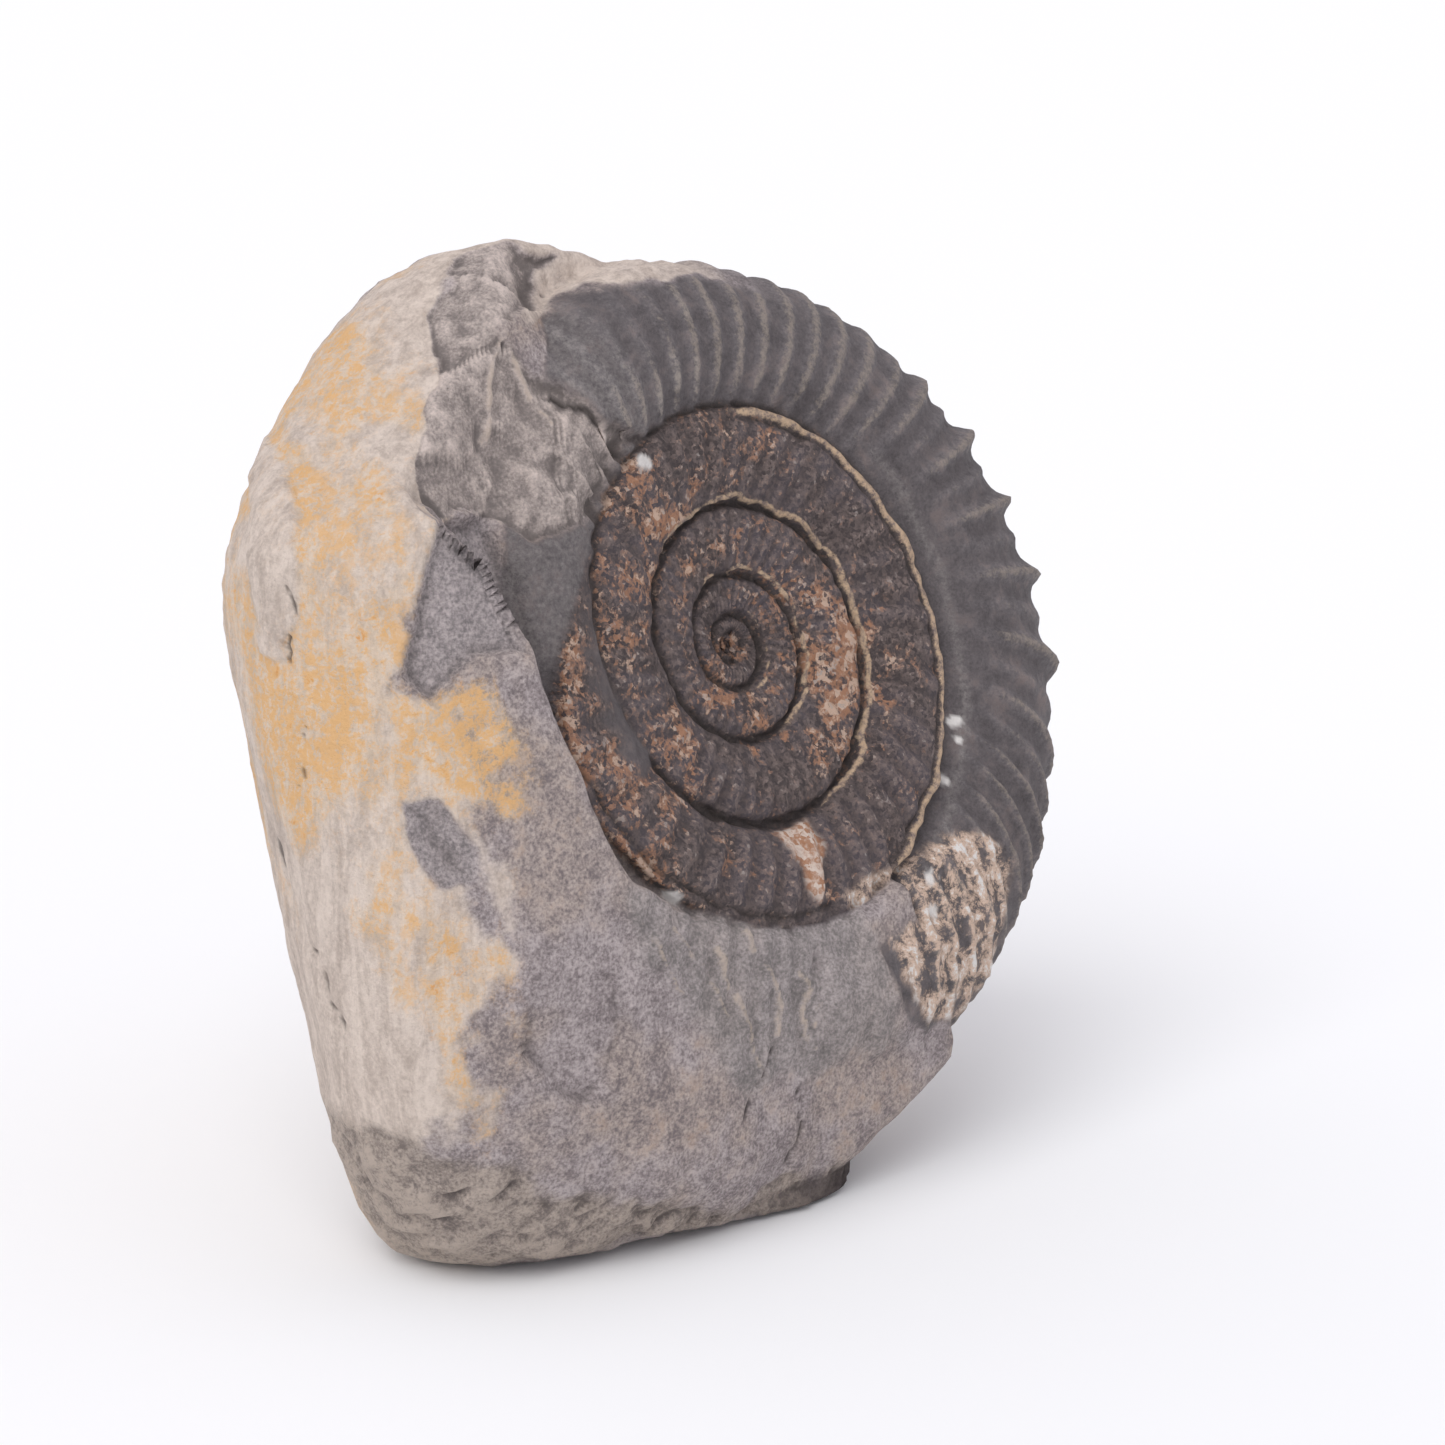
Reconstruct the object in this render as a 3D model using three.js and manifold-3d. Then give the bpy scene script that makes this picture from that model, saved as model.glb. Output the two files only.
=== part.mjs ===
// An ammonite standing in half of its stone nodule.
//
// The fossil is one natural piece: the shell and the stone around it are cemented together.
// The stone is split so that the coiled shell shows on the front, a tall lip of stone is left
// standing along the shell's left side, and the underside is sawn flat so that it stands up,
// leaning back a little.
//
// The shape is written as one function of a point, in the shell's own axes:
//   u to the right across the shell, v up along it, w straight out of it, zero at its centre.
// A clock angle runs clockwise from straight up, seen from the front.
// The function is above zero outside the stone and below zero inside it.
// Millimetres and degrees. At the end the piece is tipped back, cut and set on z = 0.

import * as THREE from 'three';
import Module from 'manifold-3d';

// ---------------------------------------------------------------- driving dimensions

const LEAN_BACK = 19.7;            // tilt of the shell's face away from upright
const FOOT_DROP = 49.7;            // height of the shell's centre above the sawn foot

// The spiral seam between one turn of the shell and the next.
const SEAM_RADIUS = 21.36;         // at clock 0 on the outermost turn
const SEAM_GROWTH = 0.0747;        // natural log of growth, per radian
const SEAM_SLOWING = 0.0019;       // how the growth slackens, per radian squared
const DISH = 0.143;                // rise of the seam towards the viewer, per mm of radius
const TURNS_SHOWN = 4;             // coils from the outer seam in to the first chamber

// The outermost turn, a tube of oval section.
const TUBE_MID = -3.5;             // w of the middle of the tube
const TUBE_HALF_WIDTH = 8.1;       // half its width where it comes out of the stone, at the left
const TUBE_WIDENING = 0.7;         // gained by the time it reaches the right side
const TUBE_OVERLAP = 3.4;          // how far it reaches over the turn inside it
const KEEL_RADIUS_TOP = 35.7;      // outer edge of the tube at clock 0
const KEEL_RADIUS_RIGHT = 43.1;    // and at the right, where it is widest
const KEEL_RADIUS_LOW = 36.6;      // and where it runs back under the stone
const KEEL_SHRINK_LEFT = 5.33;     // lost per quarter turn going left from the top
const TUBE_FROM = -115;            // clock where the tube leaves the dished coils
const TUBE_TO = 185;               // clock where it ends, inside the stone
const COILS_TO = -50;              // clock where the dished coils have given way to it

// Blunt spines where the ribs meet along the outer shoulder.
const SPINE_PITCH = 10.8;          // clock angle from one to the next
const SPINE_FIRST = 66.9;          // clock of one of them
const SPINE_FADE_FROM = 48;        // they grow in between these two clocks
const SPINE_FADE_TO = 68;
const SPINE_LOW_FROM = 101;        // and are worn low again past these two
const SPINE_LOW_TO = 112;
const SPINE_LOW_SHARE = 0.15;      // of their height, left past there
const SPINE_HEIGHT = 1.2;
const SPINE_HALF_LENGTH = 1.4;     // along the tube
const SPINE_SHOULDER = 45;         // angle up from the keel towards the front
const SPINE_HALF_SPREAD = 24;      // angle it covers round the section

// Relief of the dished inner coils.
const COIL_BULGE = 0.15;           // height of a coil as a share of its width

// The stone, as flats that its rounded outside follows: [clock, tilt to the front, distance].
const OUTLINE_FLATS = [
  [5, 15, 36.6], [345, -4, 43.4], [322, -23, 45.8], [309, -30, 45.2],
  [275, -39, 44.1], [271, -36, 45.7], [159, 28, 41.8], [151, 33, 39.3],
];
const LEFT_SKIN_FLATS = [
  [270, 0, 46.0], [276, 25, 40.5], [262, 50, 29.4], [250, 74, 16.0], [322, 28, 34.5], [352, 48, 27.0],
];
const BELLY_FLATS = [[184, 75, 12.0], [190, 52, 28.5], [225, 52, 30.2], [183, 35, 38.8], [232, 15, 54.0]];
const RIGHT_EDGE_FLATS = [
  [22, -8, 34.5], [48, -8, 37.2], [75, -8, 40.0], [100, -8, 41.0], [125, -8, 41.0], [147, -8, 43.5],
];
const BACK_FLATS = [
  [0, -45, 42.5], [45, -45, 40], [90, -45, 41], [135, -45, 45], [180, -45, 60], [225, -45, 62],
  [270, -45, 51], [315, -45, 50], [20, -75, 35], [190, -72, 46], [275, -70, 43],
];
const FRONT_BLEND = 3.0;           // how softly one flat rolls into the next
const BACK_BLEND = 10.0;
const EDGE_BLEND = 6.0;            // and the front ones into the back ones

// The opening broken out of the front: clock and distance of the stone's edge round the shell.
const OPENING_EDGE = [
  [-200, 25.8], [-150, 26.8], [-126, 29.0], [-105, 27.6], [-84, 29.2], [-70, 33.5], [-52, 50],
];
const OPENING_FREE_FROM = -60;     // past this clock the stone is broken away to its rim
const OPENING_FREE_TO = -30;
const OPENING_REACH = 40;          // how far out it is cleared there
const OPENING_FLOOR = -3.0;        // w of the broken floor at the right
const OPENING_FLOOR_RISE = 5.5;    // and how much higher it is at the upper left, outside the coils
const WALL_BATTER = 0.35;          // lean of the opening's wall

// How finely the skin is divided.
const SPOKES = 150;                // round the clock
const FRONT_RINGS = 15;
const EDGE_RINGS = 15;
const BACK_RINGS = 3;
const CORE_RADIUS = 31;            // ring inside the stone that the edge fans out from
const CORE_W = -6;
const REACH = 34;                  // from the core ring out past the skin
const SEARCH_STEPS = 60;
const HALVINGS = 12;

// ---------------------------------------------------------------- small helpers

const RAD = Math.PI / 180;
const TURN = 2 * Math.PI;

const clamp01 = (x) => Math.min(1, Math.max(0, x));

/** Smooth rise from 0 at a to 1 at b. */
function rise(a, b, x) {
  const t = clamp01((x - a) / (b - a));
  return t * t * (3 - 2 * t);
}

/** The larger of two values, with the crease between them rounded over k. */
function softMax(a, b, k) {
  const h = Math.max(k - Math.abs(a - b), 0) / k;
  return Math.max(a, b) + (h * h * k) / 4;
}

const softMin = (a, b, k) => -softMax(-a, -b, k);

/** Straight-line reading between the points of a list of [x, y]. */
function readBetween(points, x) {
  if (x <= points[0][0]) return points[0][1];
  for (let i = 1; i < points.length; i += 1) {
    const [x0, y0] = points[i - 1];
    const [x1, y1] = points[i];
    if (x <= x1) return y0 + ((y1 - y0) * (x - x0)) / (x1 - x0);
  }
  return points[points.length - 1][1];
}

// ---------------------------------------------------------------- the shell

/** Radius of the spiral seam after turning through an angle (radians, negative goes inwards). */
function seamRadius(angle) {
  return SEAM_RADIUS * Math.exp(SEAM_GROWTH * angle - SEAM_SLOWING * angle * angle);
}

/** Outer edge of the outermost turn. */
function keelRadius(angle) {
  const towardsLeft = Math.max(-2, Math.min(0, angle / (90 * RAD)));
  const towardsRight = (KEEL_RADIUS_RIGHT - KEEL_RADIUS_TOP) * rise(0, 110 * RAD, angle);
  const goingUnder = (KEEL_RADIUS_RIGHT - KEEL_RADIUS_LOW) * rise(158 * RAD, 214 * RAD, angle);
  return KEEL_RADIUS_TOP + KEEL_SHRINK_LEFT * towardsLeft + towardsRight - goingUnder;
}

/** The outermost turn of the shell: an oval tube with blunt spines on its shoulder. */
function outerTube(radius, angle, w) {
  const inner = seamRadius(angle) - TUBE_OVERLAP;
  const outer = keelRadius(angle);
  const middle = (inner + outer) / 2;
  const halfHeight = (outer - inner) / 2;
  const halfWidth = TUBE_HALF_WIDTH + TUBE_WIDENING * rise(-85 * RAD, 85 * RAD, angle);
  const x = (radius - middle) / halfHeight;
  const y = (w - TUBE_MID) / halfWidth;
  let distance = (Math.hypot(x, y) - 1) * Math.min(halfHeight, halfWidth);

  const place = (angle - SPINE_FIRST * RAD) / (SPINE_PITCH * RAD);
  const along = (Math.abs(place - Math.round(place)) * SPINE_PITCH * RAD * middle) / SPINE_HALF_LENGTH;
  const across = (Math.atan2(y, x) - SPINE_SHOULDER * RAD) / (SPINE_HALF_SPREAD * RAD);
  const worn = (1 - SPINE_LOW_SHARE) * rise(SPINE_LOW_FROM * RAD, SPINE_LOW_TO * RAD, angle);
  const grown = rise(SPINE_FADE_FROM * RAD, SPINE_FADE_TO * RAD, angle) * (1 - worn);
  distance -= SPINE_HEIGHT * grown * Math.exp(-along * along - across * across);

  const pastStart = Math.max(0, TUBE_FROM * RAD - angle) * 8;
  const pastEnd = Math.max(0, angle - TUBE_TO * RAD) * 20;
  return distance + pastStart + pastEnd;
}

/** The dished face of the inner coils, each one a low rounded ridge. */
function innerCoils(radius, clock, w) {
  let height = DISH * radius;
  for (let turn = 0; turn >= -TURNS_SHOWN; turn -= 1) {
    const low = seamRadius(clock + turn * TURN);
    const high = seamRadius(clock + (turn + 1) * TURN);
    if (radius >= low && radius < high) {
      const s = (radius - low) / (high - low);
      height += COIL_BULGE * (high - low) * Math.sqrt(clamp01(4 * s * (1 - s)));
    }
  }
  const handedOver = rise(TUBE_FROM * RAD, COILS_TO * RAD, clock);
  const limit = seamRadius(clock + TURN) * (1 - handedOver) + seamRadius(clock) * handedOver;
  return softMax(w - height, radius - limit, 0.3);
}

// ---------------------------------------------------------------- the stone

/** Outward direction and distance of each flat in a list. */
const placed = (list) => list.map(([clock, tilt, distance]) => ({
  u: Math.sin(clock * RAD) * Math.cos(tilt * RAD),
  v: Math.cos(clock * RAD) * Math.cos(tilt * RAD),
  w: Math.sin(tilt * RAD),
  distance,
}));

const frontFlats = placed([OUTLINE_FLATS, LEFT_SKIN_FLATS, BELLY_FLATS, RIGHT_EDGE_FLATS].flat());
const backFlats = placed(BACK_FLATS);

/** A rounded solid bounded by flats. */
function boundedBy(list, blend, u, v, w) {
  return list
    .map((flat) => u * flat.u + v * flat.v + w * flat.w - flat.distance)
    .reduce((a, b) => softMax(a, b, blend));
}

/** The rounded lump of stone before its front was broken open. */
function nodule(u, v, w) {
  const front = boundedBy(frontFlats, FRONT_BLEND, u, v, w);
  const back = boundedBy(backFlats, BACK_BLEND, u, v, w);
  return softMax(front, back, EDGE_BLEND);
}

/** Above zero inside the opening that shows the shell. */
function opening(radius, clock, w) {
  const degrees = clock / RAD;
  const around = degrees > 160 ? degrees - 360 : degrees;
  const cleared = OPENING_REACH * rise(OPENING_FREE_FROM, OPENING_FREE_TO, around);
  const edge = readBetween(OPENING_EDGE, around) + cleared;
  const upperLeft = (1 - rise(-32, -12, around)) * rise(14, 26, radius);
  const floor = OPENING_FLOOR + OPENING_FLOOR_RISE * upperLeft;
  const wall = (radius - edge) * 0.9 - (w - 4) * WALL_BATTER;
  return -softMax(floor - w, wall, 2);
}

/** The whole fossil: opened stone with the shell standing in it. */
function fossil(u, v, w) {
  const radius = Math.hypot(u, v);
  const clock = Math.atan2(u, v);
  const stone = softMax(nodule(u, v, w), opening(radius, clock, w), 1.5);
  let tube = outerTube(radius, clock, w);
  if (clock < 0) tube = Math.min(tube, outerTube(radius, clock + TURN, w));
  const coils = Math.max(innerCoils(radius, clock, w), -w - 8);
  return softMin(stone, softMin(tube, coils, 0.5), 0.8);
}

// ---------------------------------------------------------------- the skin

/** Walk from an outside point towards an inside one and stop on the skin. */
function meetSkin(from, to) {
  const at = (t) => from.clone().lerp(to, t);
  const inside = (t) => {
    const p = at(t);
    return fossil(p.x, p.y, p.z) < 0;
  };
  let hit = 1;
  for (let i = 1; i <= SEARCH_STEPS; i += 1) {
    if (inside(i / SEARCH_STEPS)) {
      hit = i / SEARCH_STEPS;
      break;
    }
  }
  let low = hit - 1 / SEARCH_STEPS;
  let high = hit;
  for (let i = 0; i < HALVINGS; i += 1) {
    const mid = (low + high) / 2;
    if (inside(mid)) high = mid;
    else low = mid;
  }
  return at((low + high) / 2);
}

/** The rings of the skin, from the front round the edge to the back: core radius and fan angle. */
function ringPlan() {
  const rings = [];
  for (let i = 1; i < FRONT_RINGS; i += 1) {
    rings.push({ core: (CORE_RADIUS * i) / FRONT_RINGS, fan: 90 });
  }
  for (let i = 0; i <= EDGE_RINGS; i += 1) {
    rings.push({ core: CORE_RADIUS, fan: 90 - (180 * i) / EDGE_RINGS });
  }
  for (let i = BACK_RINGS; i > 0; i -= 1) {
    rings.push({ core: (CORE_RADIUS * i) / (BACK_RINGS + 1), fan: -90 });
  }
  return rings;
}

/** A point of the skin found from the core outwards, at a clock angle and a fan angle. */
function skinPoint(core, fan, clock) {
  const spread = core + REACH * Math.cos(fan * RAD);
  const from = new THREE.Vector3(
    spread * Math.sin(clock),
    spread * Math.cos(clock),
    CORE_W + REACH * Math.sin(fan * RAD),
  );
  const to = new THREE.Vector3(core * Math.sin(clock), core * Math.cos(clock), CORE_W);
  return meetSkin(from, to);
}

/** Closed triangle skin of the fossil in the shell's own axes. */
function skin() {
  const rings = ringPlan();
  const points = [skinPoint(0, 90, 0)];
  rings.forEach(({ core, fan }) => {
    for (let s = 0; s < SPOKES; s += 1) {
      points.push(skinPoint(core, fan, (s / SPOKES) * TURN));
    }
  });
  points.push(skinPoint(0, -90, 0));

  const index = (ring, spoke) => 1 + ring * SPOKES + (spoke % SPOKES);
  const last = points.length - 1;
  const triangles = [];
  for (let s = 0; s < SPOKES; s += 1) {
    triangles.push(0, index(0, s + 1), index(0, s));
    triangles.push(last, index(rings.length - 1, s), index(rings.length - 1, s + 1));
    for (let r = 0; r < rings.length - 1; r += 1) {
      triangles.push(index(r, s), index(r + 1, s + 1), index(r + 1, s));
      triangles.push(index(r, s), index(r, s + 1), index(r + 1, s + 1));
    }
  }
  return { points, triangles };
}

// ---------------------------------------------------------------- standing it up

const wasm = await Module();
wasm.setup();

/** A manifold-3d solid from points and triangle corners. */
function solidFrom(points, triangles) {
  return new wasm.Manifold(new wasm.Mesh({
    numProp: 3,
    vertProperties: new Float32Array(points.flatMap((p) => [p.x, p.y, p.z])),
    triVerts: new Uint32Array(triangles),
  }));
}

/** A block that covers everything below z = 0. */
function blockBelowGround() {
  const size = 300;
  const box = new THREE.BoxGeometry(size, size, size);
  box.translate(0, 0, -size / 2);
  const corners = new Map();
  const points = [];
  const place = box.getAttribute('position');
  const triangles = Array.from(box.getIndex().array, (i) => {
    const p = new THREE.Vector3().fromBufferAttribute(place, i);
    const key = p.toArray().join();
    if (!corners.has(key)) {
      corners.set(key, points.length);
      points.push(p);
    }
    return corners.get(key);
  });
  return solidFrom(points, triangles);
}

/** A three.js geometry from a manifold-3d solid. */
function geometryFrom(solid) {
  const mesh = solid.getMesh();
  const geometry = new THREE.BufferGeometry();
  geometry.setAttribute('position', new THREE.BufferAttribute(new Float32Array(mesh.vertProperties), 3));
  geometry.setIndex(new THREE.BufferAttribute(new Uint32Array(mesh.triVerts), 1));
  return geometry;
}

const { points, triangles } = skin();
const lean = LEAN_BACK * RAD;
const standing = points.map((p) => new THREE.Vector3(
  p.x,
  p.y * Math.sin(lean) - p.z * Math.cos(lean),
  p.y * Math.cos(lean) + p.z * Math.sin(lean) + FOOT_DROP,
));
const geometry = geometryFrom(solidFrom(standing, triangles).subtract(blockBelowGround()));

geometry.computeBoundingBox();
const middle = geometry.boundingBox.getCenter(new THREE.Vector3());
geometry.translate(-middle.x, -middle.y, 0);
geometry.computeVertexNormals();

const stone = new THREE.Mesh(
  geometry,
  new THREE.MeshStandardMaterial({ name: 'grey_limestone', color: 0x8c857f, roughness: 0.9, metalness: 0 }),
);
stone.name = 'ammonite_nodule';

const group = new THREE.Group();
group.name = 'ammonite_fossil';
group.add(stone);

export default group;
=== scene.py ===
"""The finished look of an ammonite fossil that stands in half of its stone nodule.

The fossil is one piece of rock. Its skin is worked out in the shell's own axes, in millimetres:
u runs right across the face of the shell, v up along it and w straight out of it, from the middle
of the coil. A clock angle runs clockwise from straight up. The skin is then tipped back and set
on the sawn foot, in metres, where the plain solid of the frame stands.
"""
import itertools
import logging
import math
from dataclasses import dataclass, field
from enum import Enum

import bpy
import numpy as np
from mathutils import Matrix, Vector


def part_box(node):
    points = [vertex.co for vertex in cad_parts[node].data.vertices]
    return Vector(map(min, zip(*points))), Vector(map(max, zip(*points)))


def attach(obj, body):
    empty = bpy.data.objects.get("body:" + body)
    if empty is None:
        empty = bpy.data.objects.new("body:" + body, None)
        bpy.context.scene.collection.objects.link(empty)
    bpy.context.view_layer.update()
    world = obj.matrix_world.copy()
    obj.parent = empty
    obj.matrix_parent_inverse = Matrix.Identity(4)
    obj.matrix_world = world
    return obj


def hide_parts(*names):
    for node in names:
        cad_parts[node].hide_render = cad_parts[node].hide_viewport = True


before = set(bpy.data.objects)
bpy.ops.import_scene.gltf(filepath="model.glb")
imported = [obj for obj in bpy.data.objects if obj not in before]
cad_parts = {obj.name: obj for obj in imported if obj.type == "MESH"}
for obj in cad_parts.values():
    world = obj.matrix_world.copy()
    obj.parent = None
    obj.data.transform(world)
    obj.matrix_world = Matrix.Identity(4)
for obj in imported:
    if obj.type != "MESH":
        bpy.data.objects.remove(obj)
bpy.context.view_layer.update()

LOG = logging.getLogger("ammonite")
TURN = 2 * math.pi
MM = 0.001
NODE = "ammonite_nodule"
AWAY_FROM_ZERO = 1000.0  # keeps the cells of the random lumps above zero
SQUARE_TO_CORNER = (-0.71, 0.0, 0.70)  # out of the left front corner, in the shell's axes

Array = np.ndarray
Path = tuple[tuple[float, float], ...]
Triple = tuple[float, float, float]


# ------------------------------------------------------------------ small tools

def rise(low: float, high: float, x: Array) -> Array:
    """Smooth rise from 0 at low to 1 at high, or a fall where high is the smaller."""
    t = np.clip((x - low) / (high - low), 0.0, 1.0)
    return t * t * (3 - 2 * t)


def swing(low: float, high: float, angle: Array) -> Array:
    """Smooth rise between two angles in degrees, of an angle in radians."""
    return rise(math.radians(low), math.radians(high), angle)


def soft_max(a: Array, b: Array, k: float) -> Array:
    """The larger of two values, with the crease between them rounded over k."""
    h = np.maximum(k - np.abs(a - b), 0.0) / k
    return np.maximum(a, b) + h * h * k / 4


def soft_min(a: Array, b: Array, k: float) -> Array:
    """The smaller of two values, with the crease between them rounded over k."""
    return -soft_max(-a, -b, k)


def bell(x: Array) -> Array:
    """A smooth bump, 1 at zero and almost gone at 2."""
    return np.exp(-x * x)


def crest(turns: Array, sharpness: float) -> Array:
    """A row of ridges, 1 on each whole number and 0 halfway between.

    Args:
        turns: Place along the row, counted in ridges.
        sharpness: 1 for round ridges, more for thin ones.

    Returns:
        Height of the row, from 0 to 1.
    """
    return ((1 + np.cos(TURN * turns)) / 2) ** sharpness


def put_in_scene(name: str, data: bpy.types.ID) -> bpy.types.Object:
    """Make an object of a mesh, a light or a camera.

    Args:
        name: Its name.
        data: The mesh, light or camera.

    Returns:
        The object, in the scene.
    """
    made = bpy.data.objects.new(name, data)
    bpy.context.scene.collection.objects.link(made)
    return made


def polar(points: Array) -> tuple[Array, Array]:
    """Distance from the middle of the coil, and clock angle in radians."""
    return np.hypot(points[..., 0], points[..., 1]), np.arctan2(points[..., 0], points[..., 1])


def on_corner(points: Array) -> tuple[Array, Array]:
    """Places as seen square to the left front corner of the stone: across, and up."""
    return (points[..., 0] + points[..., 2]) * math.sqrt(0.5), points[..., 1]


@dataclass(frozen=True)
class Grain:
    """Random lumps in space that come out the same for the same seed.

    Uses differ in seed or in size, so that no two patterns line up.
    """

    seed: int

    def _hash(self, cell: Array, salt: int = 0) -> Array:
        """A steady random number from -1 to 1 for each whole-number cell.

        Args:
            cell: Whole-number places.
            salt: Tells one number of a cell from the next.

        Returns:
            One number for each cell.
        """
        c = cell.astype(np.uint32)
        h = np.uint32((self.seed * 7919 + salt * 104729) & 0xFFFFFFFF)
        for k, prime in enumerate((73856093, 19349663, 83492791)):
            h = h ^ c[..., k] * np.uint32(prime)
        for shift, factor in ((15, 2246822519), (13, 3266489917), (16, 1)):
            h = (h ^ (h >> np.uint32(shift))) * np.uint32(factor)
        return h.astype(np.float64) / 2 ** 31 - 1.0

    def lumps(self, points: Array, size: float) -> Array:
        """Soft lumps about as far apart as size, from -1 to 1.

        Args:
            points: Places in space.
            size: Distance between the lumps.

        Returns:
            Height of the lumps at each point.
        """
        q = points / size + AWAY_FROM_ZERO
        base = np.floor(q)
        t = q - base
        t = t * t * (3 - 2 * t)
        total = np.zeros(points.shape[:-1])
        for corner in itertools.product((0, 1), repeat=3):
            weight = np.prod(np.where(np.array(corner) == 1, t, 1 - t), axis=-1)
            total += weight * self._hash(base + corner)
        return total

    def layered(self, points: Array, size: float, layers: int = 3) -> Array:
        """Lumps with finer and fainter lumps on them.

        Args:
            points: Places in space.
            size: Distance between the largest lumps.
            layers: How many sizes, each half of the one before.

        Returns:
            Values that stay mostly between -1 and 1.
        """
        total = np.zeros(points.shape[:-1])
        for layer in range(layers):
            total += Grain(self.seed + layer).lumps(points, size / 2 ** layer) / 2 ** layer
        return total

    def cells(self, points: Array, size: float) -> tuple[Array, Array]:
        """The nearest of many scattered middles, one to a cell.

        Args:
            points: Places in space.
            size: Size of a cell.

        Returns:
            Squared distance from that middle, in cells, and height on a flat tilted round it.
        """
        q = points / size + AWAY_FROM_ZERO
        base = np.floor(q)
        nearest = np.full(points.shape[:-1], 9.0)
        height = np.zeros(points.shape[:-1])
        for step in itertools.product((-1, 0, 1), repeat=3):
            cell = base + step
            scatter = np.stack([self._hash(cell, k) for k in (1, 2, 3)], -1)
            tilt = np.stack([self._hash(cell, k) for k in (4, 5, 6)], -1)
            offset = q - (cell + 0.5 + 0.42 * scatter)
            away = (offset ** 2).sum(-1)
            height = np.where(away < nearest, (offset * tilt).sum(-1), height)
            nearest = np.minimum(nearest, away)
        return nearest, height

    def dishes(self, points: Array, size: float) -> Array:
        """Shallow dishes that meet in sharp ridges, as on worn stone, from 0 up to about 1."""
        return self.cells(points, size)[0]

    def facets(self, points: Array, size: float) -> Array:
        """Small tilted flats with little steps between them, as on struck stone, from -1 to 1."""
        return self.cells(points, size)[1]


def along_path(a: Array, b: Array, path: Path) -> Array:
    """Distance of each point (a, b) from a line of straight stretches.

    Args:
        a: Places across.
        b: Places up.
        path: Ends of the stretches, in order.

    Returns:
        The distances.
    """
    nearest = np.full(a.shape, 1e6)
    for (a0, b0), (a1, b1) in zip(path, path[1:]):
        length = (a1 - a0) ** 2 + (b1 - b0) ** 2
        t = np.clip(((a - a0) * (a1 - a0) + (b - b0) * (b1 - b0)) / length, 0, 1)
        nearest = np.minimum(nearest, np.hypot(a - a0 - t * (a1 - a0), b - b0 - t * (b1 - b0)))
    return nearest


def inside_outline(a: Array, b: Array, outline: Path) -> Array:
    """Signed distance from a closed outline, above zero inside it.

    Args:
        a: Places across.
        b: Places up.
        outline: Corners, in order.

    Returns:
        The distances.
    """
    closed = outline + outline[:1]
    crossings = np.zeros(a.shape, dtype=int)
    for (a0, b0), (a1, b1) in zip(closed, closed[1:]):
        spans = (b0 > b) != (b1 > b)
        at = a0 + (b - b0) * (a1 - a0) / ((b1 - b0) or 1e-9)
        crossings += spans & (a < at)
    return np.where(crossings % 2 == 1, 1.0, -1.0) * along_path(a, b, closed)


# ------------------------------------------------------------------ the shell

@dataclass(frozen=True)
class Spiral:
    """The seam between one turn of the shell and the next."""

    radius: float = 21.36
    growth: float = 0.0747
    slowing: float = 0.0019
    dish: float = 0.143

    def at(self, angle: Array) -> Array:
        """Radius of the seam after turning through an angle in radians, inwards if negative."""
        return self.radius * np.exp(self.growth * angle - self.slowing * angle * angle)


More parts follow.
